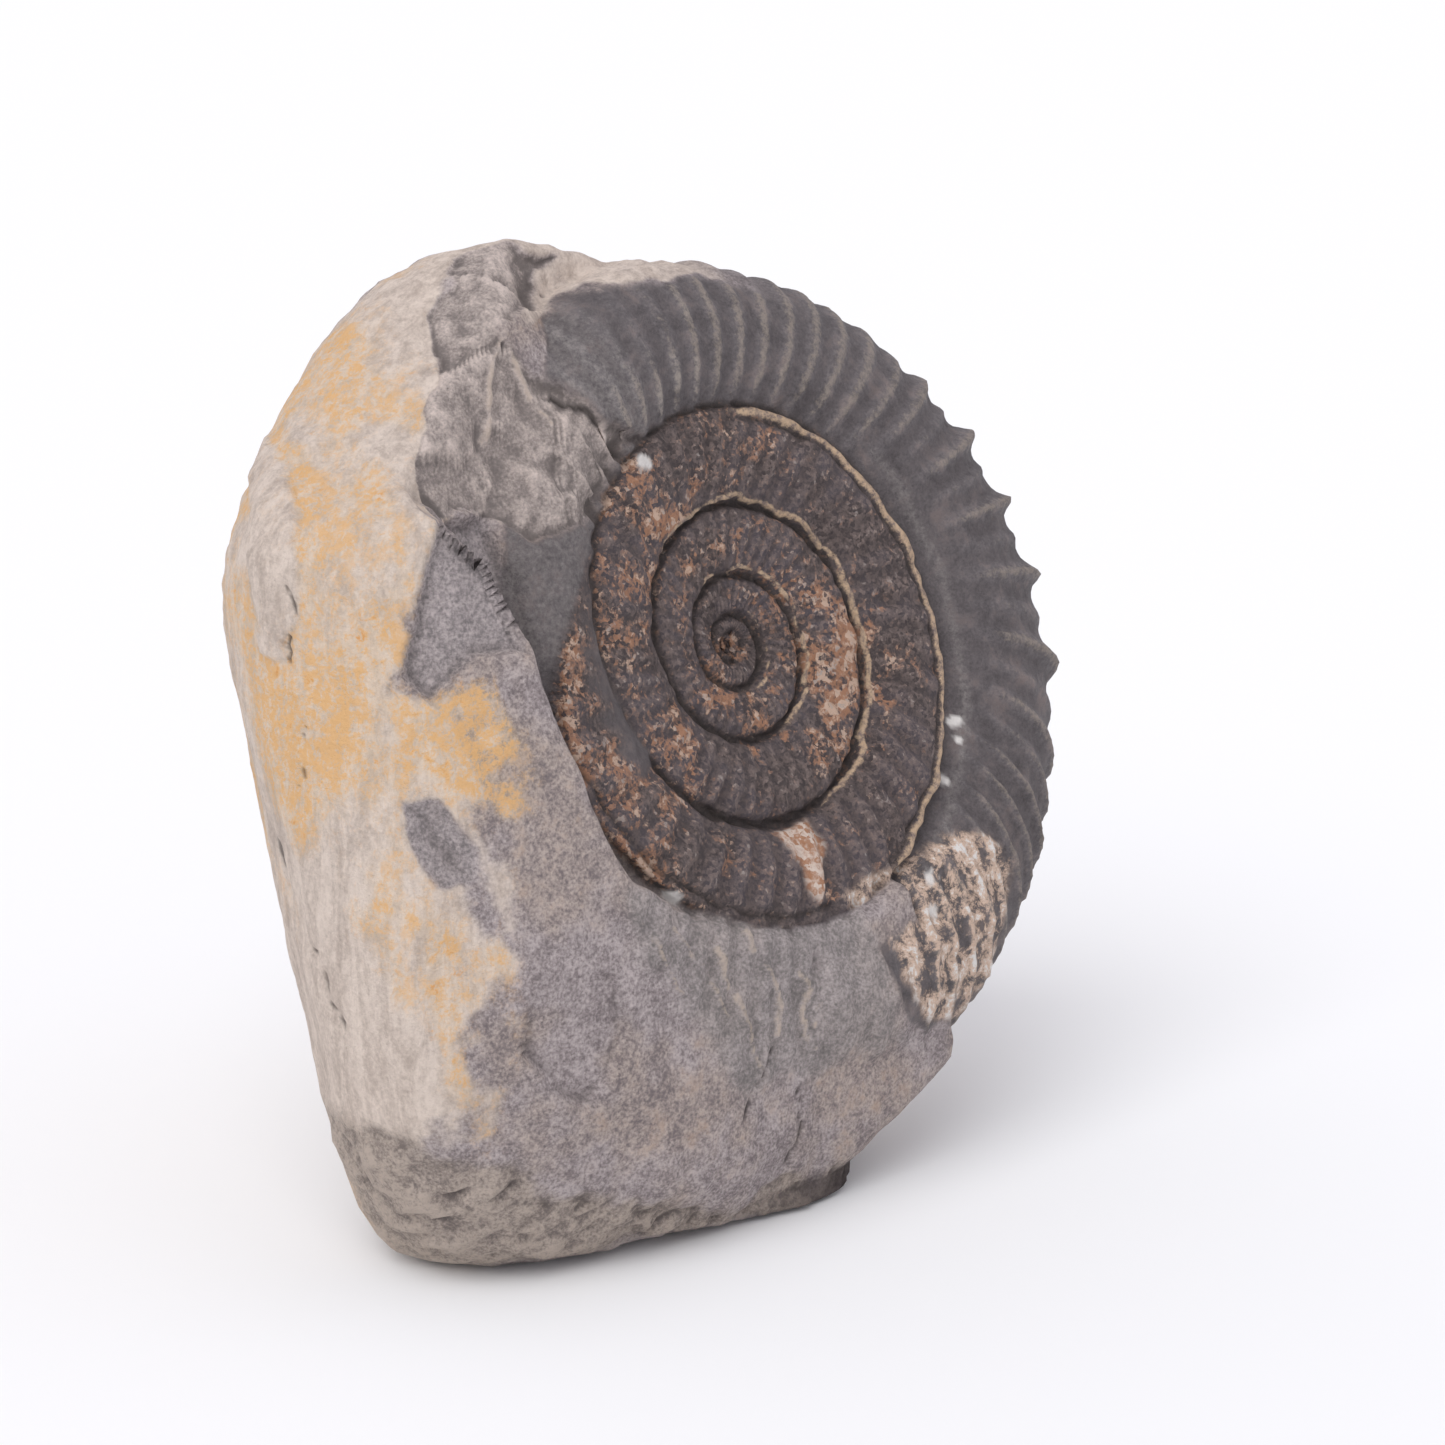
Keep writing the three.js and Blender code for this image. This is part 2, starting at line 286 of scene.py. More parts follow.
@dataclass(frozen=True)
class OuterTurn:
    """The outermost turn of the shell: an oval tube with ribs that meet in blunt spines.

    Sizes are in millimetres, and angles are in radians along the spiral from straight up.
    """

    spiral: Spiral
    mid: float = -3.5
    half_width: float = 8.1
    widening: float = 0.7
    overlap: float = 3.4
    keel_top: float = 35.7
    keel_right: float = 43.1
    keel_low: float = 36.6
    keel_shrink_left: float = 5.33
    start: float = math.radians(-115)
    end: float = math.radians(185)
    rib_height: float = 0.34
    rib_gain: float = 0.24
    rib_loss: float = 0.26
    fine_pitch: float = math.radians(6.3)
    spine_pitch: float = math.radians(10.8)
    spine_first: float = math.radians(66.9)
    spine_from: float = math.radians(48)
    spine_to: float = math.radians(68)
    spines_worn_from: float = 1.76
    spines_worn_to: float = 1.95
    spines_worn_by: float = 0.85
    spine_height: float = 0.95
    spine_length: float = 0.95
    spine_shoulder: float = math.radians(45)
    spine_spread: float = math.radians(24)

    def keel(self, angle: Array) -> Array:
        """Radius of the outer edge.

        Args:
            angle: Angle along the spiral.

        Returns:
            The radius at each angle.
        """
        left = self.keel_shrink_left * np.clip(angle / (TURN / 4), -2, 0)
        right = (self.keel_right - self.keel_top) * swing(0, 110, angle)
        under = (self.keel_right - self.keel_low) * swing(158, 214, angle)
        return self.keel_top + left + right - under

    def section(self, radius: Array, angle: Array, w: Array) -> tuple[Array, ...]:
        """Place in the oval section.

        Args:
            radius: Distance from the middle of the coil.
            angle: Angle along the spiral.
            w: Height out of the face.

        Returns:
            Across from -1 inside to 1 at the keel, up from the mid plane, half sizes and mid radius.
        """
        inner = self.spiral.at(angle) - self.overlap
        outer = self.keel(angle)
        middle = (inner + outer) / 2
        half_height = (outer - inner) / 2
        half_width = self.half_width + self.widening * swing(-85, 85, angle)
        return (radius - middle) / half_height, (w - self.mid) / half_width, half_height, half_width, middle

    def rib_angle(self, angle: Array, across: Array) -> Array:
        """Angle along the spiral of the rib that runs through a place, allowing for its lean."""
        lean = 0.03 + 0.11 * swing(85, 135, angle)
        return angle - lean * (across + 0.2)

    def ribs(self, angle: Array, across: Array) -> Array:
        """Height of the ribs, from 0 between them to 1 on the strongest.

        Args:
            angle: Angle along the spiral.
            across: Place in the section, -1 inside to 1 at the keel.

        Returns:
            The height at each place.
        """
        at = self.rib_angle(angle, across)
        fine = crest(at / self.fine_pitch, 1.5) * rise(-0.95, -0.3, across)
        fine = fine * swing(-62, -38, angle)
        fine = fine * (1 - 0.6 * rise(-0.3, 0.4, across) * swing(6, -14, angle))
        place = (at - self.spine_first) / self.spine_pitch
        strong = crest(place, 7.0)
        between = 0.6 * crest(place + 0.5, 10.0)
        spined = (strong + between) * rise(-0.5, 0.1, across)
        low = crest(2 * place, 4.0) * rise(-0.7, -0.1, across)
        to_spines = swing(44, 64, angle)
        to_low = swing(108, 128, angle)
        ended = 1 - 0.75 * swing(164, 172, angle)
        return fine * (1 - to_spines) + to_spines * ended * (spined * (1 - to_low) + low * to_low)

    def distance(self, radius: Array, angle: Array, w: Array) -> Array:
        """Rough distance outside the tube, below zero inside it.

        Args:
            radius: Distance from the middle of the coil.
            angle: Angle along the spiral.
            w: Height out of the face.

        Returns:
            The distances.
        """
        across, up, half_height, half_width, middle = self.section(radius, angle, w)
        out = (np.hypot(across, up) - 1) * np.minimum(half_height, half_width)
        rib_height = self.rib_height + self.rib_gain * swing(44, 64, angle)
        rib_height = rib_height - self.rib_loss * swing(134, 142, angle)
        out -= rib_height * self.ribs(angle, across)
        place = (self.rib_angle(angle, across) - self.spine_first) / self.spine_pitch
        along = np.abs(place - np.round(place)) * self.spine_pitch * middle / self.spine_length
        turned = (np.arctan2(up, across) - self.spine_shoulder) / self.spine_spread
        grown = rise(self.spine_from, self.spine_to, angle)
        grown = grown * (1 - self.spines_worn_by * rise(self.spines_worn_from, self.spines_worn_to, angle))
        out -= self.spine_height * grown * np.exp(-along * np.sqrt(along + 0.3)) * bell(turned)
        before = 8 * np.maximum(0, self.start - angle)
        after = 20 * np.maximum(0, angle - self.end)
        return out + before + after


@dataclass(frozen=True)
class InnerCoils:
    """The older turns, seen as a shallow dish of low, ribbed ridges."""

    spiral: Spiral
    turns: int = 4
    bulge: float = 0.15
    rib_share: float = 0.030
    rib_share_low: float = 0.035
    ribs_per_turn: int = 44
    give_way_from: float = math.radians(-115)
    give_way_to: float = math.radians(-50)

    def place(self, radius: Array, clock: Array) -> tuple[Array, Array, Array]:
        """Where a point lies on the coils.

        Args:
            radius: Distance from the middle.
            clock: Clock angle in radians.

        Returns:
            Angle along the spiral, share of the way across its coil, and the coil's width.
        """
        angle = np.array(clock)
        share = np.full(radius.shape, 0.5)
        width = np.full(radius.shape, 1.0)
        for turn in range(0, -self.turns - 1, -1):
            low = self.spiral.at(clock + turn * TURN)
            high = self.spiral.at(clock + (turn + 1) * TURN)
            here = (radius >= low) & (radius < high)
            angle = np.where(here, clock + turn * TURN, angle)
            share = np.where(here, (radius - low) / (high - low), share)
            width = np.where(here, high - low, width)
        return angle, share, width

    def ribs(self, angle: Array, share: Array) -> Array:
        """Height of the ribs across a coil, from 0 to 1."""
        arch = np.clip(4 * share * (1 - share), 0, 1)
        return arch * crest(self.ribs_per_turn * (angle - 0.10 * share) / TURN, 1.3)

    def distance(self, radius: Array, clock: Array, w: Array) -> Array:
        """Rough distance above the dished face, below zero under it.

        Args:
            radius: Distance from the middle of the coil.
            clock: Clock angle in radians.
            w: Height out of the face.

        Returns:
            The distances.
        """
        angle, share, width = self.place(radius, clock)
        arch = np.sqrt(np.clip(4 * share * (1 - share), 0, 1))
        height = self.spiral.dish * radius + self.bulge * width * arch
        lower = rise(95, 150, np.abs(np.degrees(clock))) * rise(12, 17, radius)
        ribs = self.rib_share + self.rib_share_low * lower
        height = height + ribs * width * self.ribs(angle, share)
        given = rise(self.give_way_from, self.give_way_to, clock)
        limit = self.spiral.at(clock + TURN) * (1 - given) + self.spiral.at(clock) * given
        return np.maximum(soft_max(w - height, radius - limit, 0.3), -w - 8)


# ------------------------------------------------------------------ the stone

@dataclass(frozen=True)
class Flat:
    """One flat that the rounded stone follows.

    It faces a clock angle, tilted so far towards the front, both in degrees, and it lies at its
    reach from the middle of the coil.
    """

    clock: float
    tilt: float
    reach: float

    def above(self, points: Array) -> Array:
        """Distance outside the flat.

        Args:
            points: Places in the shell's axes.

        Returns:
            The distances, below zero inside.
        """
        c, t = math.radians(self.clock), math.radians(self.tilt)
        way = np.array([math.sin(c) * math.cos(t), math.cos(c) * math.cos(t), math.sin(t)])
        return points @ way - self.reach


def flats(*rows: Triple) -> tuple[Flat, ...]:
    """Flats from rows of clock, tilt and reach."""
    return tuple(Flat(*row) for row in rows)


@dataclass(frozen=True)
class Nodule:
    """The lump of stone, broken open at the front.

    The blends say how softly one flat rolls into the next. The rim is where the opening's wall
    stands round the shell, by clock and distance from the middle of the coil.
    """

    outline: tuple[Flat, ...] = flats(
        (5, 15, 36.6), (345, -4, 43.4), (322, -23, 45.8), (309, -30, 45.2),
        (275, -39, 44.1), (271, -36, 45.7), (159, 28, 41.8), (151, 33, 39.3),
    )
    left_skin: tuple[Flat, ...] = flats(
        (270, 0, 46.0), (276, 25, 40.5), (262, 50, 29.4), (250, 74, 16.0), (322, 28, 34.5), (352, 48, 27.0),
    )
    belly: tuple[Flat, ...] = flats(
        (184, 75, 12.0), (190, 52, 28.5), (225, 52, 30.2), (183, 35, 38.8), (232, 15, 54.0),
    )
    right_edge: tuple[Flat, ...] = flats(
        (22, -8, 34.5), (48, -8, 37.2), (75, -8, 40.0), (100, -8, 41.0), (125, -8, 41.0), (147, -8, 43.5),
    )
    back: tuple[Flat, ...] = flats(
        (0, -45, 42.5), (45, -45, 40), (90, -45, 41), (135, -45, 45), (180, -45, 60), (225, -45, 62),
        (270, -45, 51), (315, -45, 50), (20, -75, 35), (190, -72, 46), (275, -70, 43),
    )
    front_blend: float = 3.0
    back_blend: float = 10.0
    edge_blend: float = 6.0
    rim: Path = (
        (-200, 25.8), (-150, 26.8), (-126, 29.0), (-105, 27.6), (-84, 29.2), (-70, 33.5), (-52, 50),
    )
    rim_reach: float = 40.0
    floor: float = -3.0
    floor_rise: float = 5.5
    wall_batter: float = 0.35

    def lump(self, points: Array) -> Array:
        """Distance outside the whole lump, as it was before it was broken open.

        Args:
            points: Places in the shell's axes.

        Returns:
            The distances, below zero inside.
        """
        sides = []
        front = self.outline + self.left_skin + self.belly + self.right_edge
        for group, blend in ((front, self.front_blend), (self.back, self.back_blend)):
            side = group[0].above(points)
            for flat in group[1:]:
                side = soft_max(side, flat.above(points), blend)
            sides.append(side)
        return soft_max(sides[0], sides[1], self.edge_blend)

    def opening(self, radius: Array, clock: Array, w: Array) -> Array:
        """Above zero inside the opening that shows the shell.

        Args:
            radius: Distance from the middle of the coil.
            clock: Clock angle in radians.
            w: Height out of the face.

        Returns:
            Rough distances into it.
        """
        degrees = np.degrees(clock)
        around = np.where(degrees > 160, degrees - 360, degrees)
        edge = np.interp(around, [c for c, _ in self.rim], [r for _, r in self.rim])
        edge = edge + self.rim_reach * rise(-60, -30, around)
        upper_left = rise(-12, -32, around) * rise(14, 26, radius)
        floor = self.floor + self.floor_rise * upper_left
        wall = (radius - edge) * 0.9 - (w - 4) * self.wall_batter
        return -soft_max(floor - w, wall, 2.0)


@dataclass(frozen=True)
class Patch:
    """An outlined part of the front skin, seen square to its left front corner.

    The outline's points are (across, up): across is along the line between the right and the
    front, and up is v, in millimetres from the middle of the coil.
    """

    outline: Path
    soft: float = 0.6
    wobble: float = 0.8

    def cover(self, a: Array, b: Array, jitter: Array) -> Array:
        """1 well inside, 0 outside."""
        return rise(-self.soft, self.soft, inside_outline(a, b, self.outline) + self.wobble * jitter)


@dataclass(frozen=True)
class Line:
    """A raised vein along a path on the front skin, or a crack where its height is below zero."""

    path: Path
    width: float
    height: float


@dataclass(frozen=True)
class Wear:
    """What time and the hammer did to the stone: breaks, chips, cracks and veins.

    Outlines and lines are drawn in the plane of a Patch. The wedge and the specks are on the
    shell, by u and v, and a speck's third number is its half width.
    """

    fresh_break: Patch = Patch((
        (-14.9, 38.7), (-10.0, 39.3), (-6.6, 37.4), (-8.5, 34.5), (-11.8, 31.0), (-11.0, 27.6), (-8.8, 25.2),
        (-6.4, 23.4), (-5.0, 21.5), (-3.4, 19.2), (-5.4, 17.2), (-8.4, 13.3), (-12.7, 12.6),
        (-18.4, 15.5), (-21.8, 16.4), (-20.7, 22.6), (-18.8, 27.8), (-18.6, 33.5),
    ), 0.3, 0.9)
    corner_face: Patch = Patch((
        (-20.5, 15.5), (-23.8, 9.3), (-27.1, 3.4), (-25.1, 1.2), (-20.3, 3.8), (-16.3, 3.2), (-17.0, 15.5),
    ), 0.35, 0.3)
    lip_face: Patch = Patch((
        (-18.8, 0.6), (-14.0, 2.5), (-10.0, -5.4), (-9.0, -19.6), (-14.0, -25.3), (-20.3, -22.3),
        (-22.2, -16.6), (-21.0, -10.6),
    ), 1.2, 1.2)
    chip: Patch = Patch((
        (-29.5, -6.5), (-26.4, -6.9), (-24.5, -11.7), (-25.2, -14.4), (-28.2, -13.9), (-29.7, -10.3),
    ), 0.3, 0.25)
    flake: Patch = Patch((
        (-21.5, -21.3), (-16.3, -24.9), (-16.5, -29.7), (-18.4, -33.1), (-21.1, -35.6), (-23.1, -33.7),
        (-25.3, -29.5),
    ), 0.25, 0.3)
    foot_band: Patch = Patch((
        (-60, -27), (-43.6, -30.1), (-37.3, -33.9), (-32.0, -37.0), (-25.5, -41.7), (-19.5, -45.3),
        (-14.8, -47.8), (-9.4, -48.2), (4, -49), (4, -70), (-60, -70),
    ), 0.8, 1.3)
    matrix_below: Patch = Patch((
        (-30, -26.8), (3.5, -26.8), (6.0, -26.2), (6.8, -29.5), (7.3, -34.0), (8.2, -38.0), (10.5, -41.5),
        (10.5, -60), (-30, -60),
    ), 0.3, 0.5)
    tongue: Patch = Patch((
        (-34.2, 29.0), (-33.0, 24.9), (-32.6, 19.4), (-33.0, 14.8), (-34.8, 10.1), (-36.8, 7.0),
        (-38.0, 8.8), (-37.6, 12.4), (-36.6, 18.2), (-36.4, 24.0),
    ), 0.25, 0.5)
    mould: Patch = Patch((
        (-13.4, -18.5), (-7.9, -20.9), (-0.7, -24.5), (5.7, -25.6), (7.7, -30.9), (6.8, -38.8),
        (-0.3, -38.2), (-8.2, -38.7), (-11.0, -30.9), (-13.4, -24.8),
    ), 1.0, 1.0)
    broken_shell: Patch = Patch((
        (4.6, -24.6), (12.0, -23.0), (17.0, -21.5), (21.5, -25.5), (17.5, -34.0), (10.5, -39.5),
        (8.4, -34.0),
    ), 0.5, 1.0)
    orange_lip: Patch = Patch((
        (-26.6, 1.4), (-20.5, 1.7), (-18.2, -4.2), (-19.6, -10.1), (-26.2, -7.1), (-28.0, -2.5),
    ), 2.0, 2.2)
    orange_low: Patch = Patch((
        (-34.5, -6.7), (-30.3, -14.7), (-27.2, -20.5), (-28.0, -28.9), (-31.1, -33.5),
        (-34.0, -26.0), (-36.0, -17.1),
    ), 2.5, 2.5)
    skin: Patch = Patch((
        (-9, 36.5), (-14.5, 34.0), (-16.2, 24.5), (-17.6, 16.6), (-24.0, 9.6), (-26.5, 2.0),
        (-22.5, -2.0), (-23.5, -12.0), (-25.2, -24.0), (-31, -36), (-60, -32), (-60, 60), (-9, 60),
    ), 3.4, 3.2)
    veins: tuple[Line, ...] = (
        Line(((-12.8, -21.0), (-12.2, -24.4), (-11.7, -28.2)), 0.22, 0.34),
        Line(((-10.7, -22.5), (-9.4, -26.5), (-8.3, -31.5)), 0.22, 0.36),
        Line(((-7.5, -25.3), (-7.6, -28.7)), 0.30, 0.22),
        Line(((-4.9, -25.0), (-3.5, -30.7), (-4.8, -34.6)), 0.30, 0.34),
        Line(((-7.2, -29.7), (-6.7, -37.5)), 0.28, 0.40),
        Line(((-1.4, -29.1), (-0.5, -31.4), (-2.4, -35.7)), 0.28, 0.30),
        Line(((1.3, -32.2), (-0.6, -33.5), (-1.8, -36.5)), 0.22, 0.28),
        Line(((-11.8, 30.6), (-14.0, 27.6), (-15.4, 22.5), (-16.2, 20.3)), 0.34, 0.34),
        Line(((-11.8, 29.1), (-12.1, 26.8), (-11.1, 24.1), (-9.7, 22.0)), 0.26, 0.28),
    )
    cracks: tuple[Line, ...] = (
        Line(((-34.3, 13.1), (-34.4, 11.2), (-35.4, 9.4), (-36.7, 7.3)), 0.26, -0.50),
        Line(((-36.3, 1.8), (-37.1, -0.8), (-38.5, -3.4)), 0.20, -0.30),
        Line(((-41.6, -5.3), (-41.5, -11.9)), 0.20, -0.40),
        Line(((-40.7, -16.7), (-39.9, -21.7), (-39.1, -25.5)), 0.24, -0.45),
        Line(((-5.3, -35.6), (-7.5, -37.8), (-8.9, -40.7)), 0.24, -0.50),
        Line(((-3.7, -39.8), (-4.2, -43.0), (-6.2, -46.7)), 0.20, -0.40),
        Line(((-9.6, 24.8), (-7.0, 23.0), (-5.4, 20.4), (-4.6, 18.2)), 0.34, -0.50),
    )
    pale_wedge: Path = ((-3.6, -17.0), (1.2, -16.8), (0.9, -19.5), (-0.4, -22.6), (-1.8, -24.0))
    specks: tuple[Triple, ...] = (
        (-8.4, 17.3, 0.75), (-19.2, -20.1, 0.8), (23.0, -12.0, 0.55), (22.6, -13.6, 0.5), (19.9, -17.0, 0.5),
        (13.8, -25.5, 0.9), (12.4, -28.4, 0.6),
    )
    hollow_at: tuple[float, float] = (-9.6, 40.2)
    hollow_size: tuple[float, float] = (1.5, 0.5)


class Mask(Enum):
    """What the skin is made of at each point, and where shade is painted on it, kept on the mesh for its
    finish to read.
    """

    SHELL = "shell"
    COIL = "coil"
    RIDGE = "ridge"
    CRUST = "crust"
    GROOVE = "groove"
    SKIN = "skin"
    OCHRE = "ochre"
    BREAK = "fresh_break"
    FOOT = "foot_band"
    MOULD = "mould"
    VEIN = "vein"
    CRACK = "crack"
    # where shade is painted under the toe at the right end of the foot
    SHADE_UNDER_TOE = "painted_shade_under_toe"
    CHIP = "chip"
    BROKEN = "broken_shell"
    PALE = "pale"
    BROWN = "brown"
    WHITE = "white"
    DUST = "dust"
    FINE_RELIEF = "fine_relief"
    WIDE_RELIEF = "wide_relief"


@dataclass
class Stance:
    """Where the shell's axes stand in the frame.

    The middle of the coil stands so far above the foot, from the left side of the plain solid's
    box and from its back, in millimetres.
    """

    lean: float = math.radians(19.7)
    foot_drop: float = 49.7
    left_reach: float = 46.0
    back_reach: float = 36.44

    def origin(self) -> Array:
        """The middle of the coil, in millimetres in the frame."""
        low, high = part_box(NODE)
        return np.array([low.x / MM + self.left_reach, high.y / MM - self.back_reach, self.foot_drop])

    def stand(self, points: Array) -> Array:
        """Points in the shell's axes, set in the frame, in millimetres.

        Args:
            points: Places in the shell's axes.

        Returns:
            The same places in the frame.
        """
        u, v, w = points[..., 0], points[..., 1], points[..., 2]
        c, s = math.cos(self.lean), math.sin(self.lean)
        return np.stack([u, v * s - w * c, v * c + w * s], -1) + self.origin()

    def height(self, points: Array) -> Array:
        """Height above the foot."""
        return points[..., 1] * math.cos(self.lean) + points[..., 2] * math.sin(self.lean) + self.foot_drop


@dataclass
class Weave:
    """How the skin is divided: spokes round the clock and rings from front to back, in millimetres.

    Each ray runs straight from reach away onto a core ring inside the stone, in at most that many
    steps, and its last step is then halved again and again.
    """

    spokes: int = 500
    front_rings: int = 98
    shoulder_rings: int = 62
    behind_rings: int = 24
    back_rings: int = 12
    core: float = 31.0
    core_w: float = -6.0
    reach: float = 34.0
    steps: int = 84
    halvings: int = 11

    def rays(self) -> tuple[Array, Array]:
        """Start outside and end inside of every ray, ring by ring.

        Returns:
            The two ends of each ray, in the shell's axes.
        """
        fan = [(self.core * (i + 0.4) / self.front_rings, 90.0) for i in range(self.front_rings)]
        fan += [(self.core, 90.0 - 90.0 * i / self.shoulder_rings) for i in range(self.shoulder_rings)]
        fan += [(self.core, -90.0 * i / self.behind_rings) for i in range(self.behind_rings)]
        fan += [(self.core * (1 - i / self.back_rings) + 0.3, -90.0) for i in range(self.back_rings + 1)]
        radius = np.array([r for r, _ in fan])[:, None]
        tilt = np.radians([t for _, t in fan])[:, None]
        clock = (np.arange(self.spokes) / self.spokes * TURN)[None, :]
        spread = radius + self.reach * np.cos(tilt)
        start = np.stack([
            spread * np.sin(clock),
            spread * np.cos(clock),
            (self.core_w + self.reach * np.sin(tilt)) * np.ones_like(clock),
        ], -1)
        end = np.stack([
            radius * np.sin(clock),
            radius * np.cos(clock),
            self.core_w * np.ones_like(radius * clock),
        ], -1)
        return start, end

    def faces(self) -> list[tuple[int, ...]]:
        """Quads between the rings and one face over the hole at each end.

        Returns:
            The corners of each face.
        """
        rings = self.front_rings + self.shoulder_rings + self.behind_rings + self.back_rings + 1
        index = np.arange(rings * self.spokes).reshape(rings, self.spokes)
        here, out = index[:-1], index[1:]
        quads = np.stack([here, np.roll(here, -1, 1), np.roll(out, -1, 1), out], -1).reshape(-1, 4)
        ends = [tuple(int(i) for i in index[0][::-1]), tuple(int(i) for i in index[-1])]
        return [tuple(quad) for quad in quads.tolist()] + ends


class Survey:
    """The skin's points, in each of the ways that its parts are laid out in."""

    def __init__(self, points: Array, outward: Array) -> None:
        """Work the places out once.

        Args:
            points: Skin points in the shell's axes.
            outward: Direction out of the skin at each.
        """
        self.points = points
        self.u, self.v, self.w = points[..., 0], points[..., 1], points[..., 2]
        self.a, self.b = on_corner(points)
        self.radius, self.clock = polar(points)
        self.degrees = np.degrees(self.clock)
        self.jitter = Grain(3).layered(points, 3.0, 3)
        self.facing = rise(0.0, 0.25, outward @ np.array(SQUARE_TO_CORNER))
        self.shown = self.facing * rise(-26, -12, self.w - 0.25 * self.u)

    def patch(self, part: Patch) -> Array:
        """How far an outlined part covers each point."""
        return part.cover(self.a, self.b, self.jitter) * self.shown


# ------------------------------------------------------------------ the fossil

@dataclass
class Fossil:
    """The whole piece: opened stone with the coiled shell standing in it."""

    stance: Stance = field(default_factory=Stance)
    weave: Weave = field(default_factory=Weave)
    spiral: Spiral = field(default_factory=Spiral)
    nodule: Nodule = field(default_factory=Nodule)
    wear: Wear = field(default_factory=Wear)
    # a low toe of rock at the right end of the foot, painted dark as the shade under it: how far it stands
    # out, the heights between which it gives way to the stone, and the places across between which it grows
    toe_reach: float = 1.2
    toe_heights: tuple[float, float] = (2.0, 1.0)
    toe_across: tuple[float, float] = (-14.0, 2.0)
    foot_round: float = 1.6

    def __post_init__(self) -> None:
        """Make the two parts of the shell from its spiral."""
        self.outer = OuterTurn(self.spiral)
        self.inner = InnerCoils(self.spiral)

    def parts(self, points: Array) -> tuple[Array, Array, Array]:
        """Distances outside the stone, the outer turn and the inner coils.

        Args:
            points: Places in the shell's axes.

        Returns:
            The three distances.
        """
        w = points[..., 2]
        radius, clock = polar(points)
        stone = soft_max(self.nodule.lump(points), self.nodule.opening(radius, clock, w), 1.5)
        tube = self.outer.distance(radius, clock, w)
        again = self.outer.distance(radius, clock + TURN, w)
        tube = np.where(clock < 0, np.minimum(tube, again), tube)
        return stone, tube, self.inner.distance(radius, clock, w)

    def distance(self, points: Array) -> Array:
        """Rough distance outside the fossil, below zero inside it.

        Args:
            points: Places in the shell's axes.

        Returns:
            The distances.
        """
        stone, tube, coils = self.parts(points)
        height = self.stance.height(points)
        toe = self.toe_reach * rise(*self.toe_heights, height) * rise(*self.toe_across, points[..., 0])
        whole = soft_min(stone, soft_min(tube, coils, 0.5), 0.8) - toe
        return soft_max(whole, -height, self.foot_round)

    def skin(self) -> Array:
        """Points of the skin, found by walking each ray inwards and then halving the last step.

        Returns:
            One point for each ring and spoke.
        """
        start, end = self.weave.rays()
        way = end - start
        hit = np.ones(start.shape[:2])
        waiting = np.ones(start.shape[:2], dtype=bool)
        for step in range(1, self.weave.steps + 1):
            t = step / self.weave.steps
            at = np.argwhere(waiting)
            if not len(at):
                break
            found = at[self.distance(start[waiting] + way[waiting] * t) < 0]
            hit[found[:, 0], found[:, 1]] = t
            waiting[found[:, 0], found[:, 1]] = False
        low, high = hit - 1 / self.weave.steps, hit
        for _ in range(self.weave.halvings):
            middle = (low + high) / 2
            inside = self.distance(start + way * middle[..., None]) < 0
            high = np.where(inside, middle, high)
            low = np.where(inside, low, middle)
        return start + way * ((low + high) / 2)[..., None]

    @staticmethod
    def outward(points: Array) -> Array:
        """Direction straight out of the skin at each point.

        Args:
            points: Skin points in the shell's axes.

        Returns:
            Directions one unit long.
        """
        along = np.roll(points, -1, 1) - np.roll(points, 1, 1)
        across = np.gradient(points, axis=0)
        way = np.cross(along, across)
        return way / np.maximum(np.linalg.norm(way, axis=-1, keepdims=True), 1e-9)

    @staticmethod
    def smoothed(values: Array, rounds: int) -> Array:
        """Values on the skin, each evened out with its four neighbours a number of times.

        Args:
            values: One for each ring and spoke.
            rounds: How many times.

        Returns:
            The values, evened out.
        """
        for _ in range(rounds):
            rings = np.concatenate([values[:1], values, values[-1:]])
            values = (rings[:-2] + rings[2:] + np.roll(values, 1, 1) + np.roll(values, -1, 1)) / 4
        return values

    def eased(self, points: Array) -> Array:
        """The skin with the saw teeth taken off wherever it drops over an edge.

        Args:
            points: Skin points in the shell's axes.

        Returns:
            The points, moved a little.
        """
        out = np.linalg.norm(np.gradient(points, axis=0), axis=-1)
        along = np.linalg.norm(np.roll(points, -1, 1) - points, axis=-1)
        share = rise(0.7, 1.2, self.smoothed(np.maximum(out, along), 4))[..., None]
        return points * (1 - share) + self.smoothed(points, 16) * share

    def relief(self, points: Array, outward: Array, rounds: int) -> Array:
        """How far each point stands proud of its smoothed surroundings, in millimetres."""
        return ((points - self.smoothed(points, rounds)) * outward).sum(-1)

    @staticmethod
    def lines(skin: Survey, group: tuple[Line, ...]) -> list[Array]:
        """Strength of each of a group of wavering lines at the skin points, from 0 to 1.

        Args:
            skin: The skin's points.
            group: The lines.

        Returns:
            The strengths, line by line.
        """
        points = skin.points
        a = skin.a + 0.45 * Grain(8).lumps(points, 3.0) + 0.22 * Grain(28).lumps(points, 1.1)
        b = skin.b + 0.45 * Grain(9).lumps(points, 3.0) + 0.22 * Grain(29).lumps(points, 1.1)
        wide = 1 + 0.5 * Grain(10).lumps(points, 2.0)
        gaps = rise(-0.8, 0.1, Grain(30).lumps(points, 1.6))
        return [
            bell(along_path(a, b, line.path) / (line.width * wide)) * (gaps if line.height > 0 else 1.0)
            for line in group
        ]

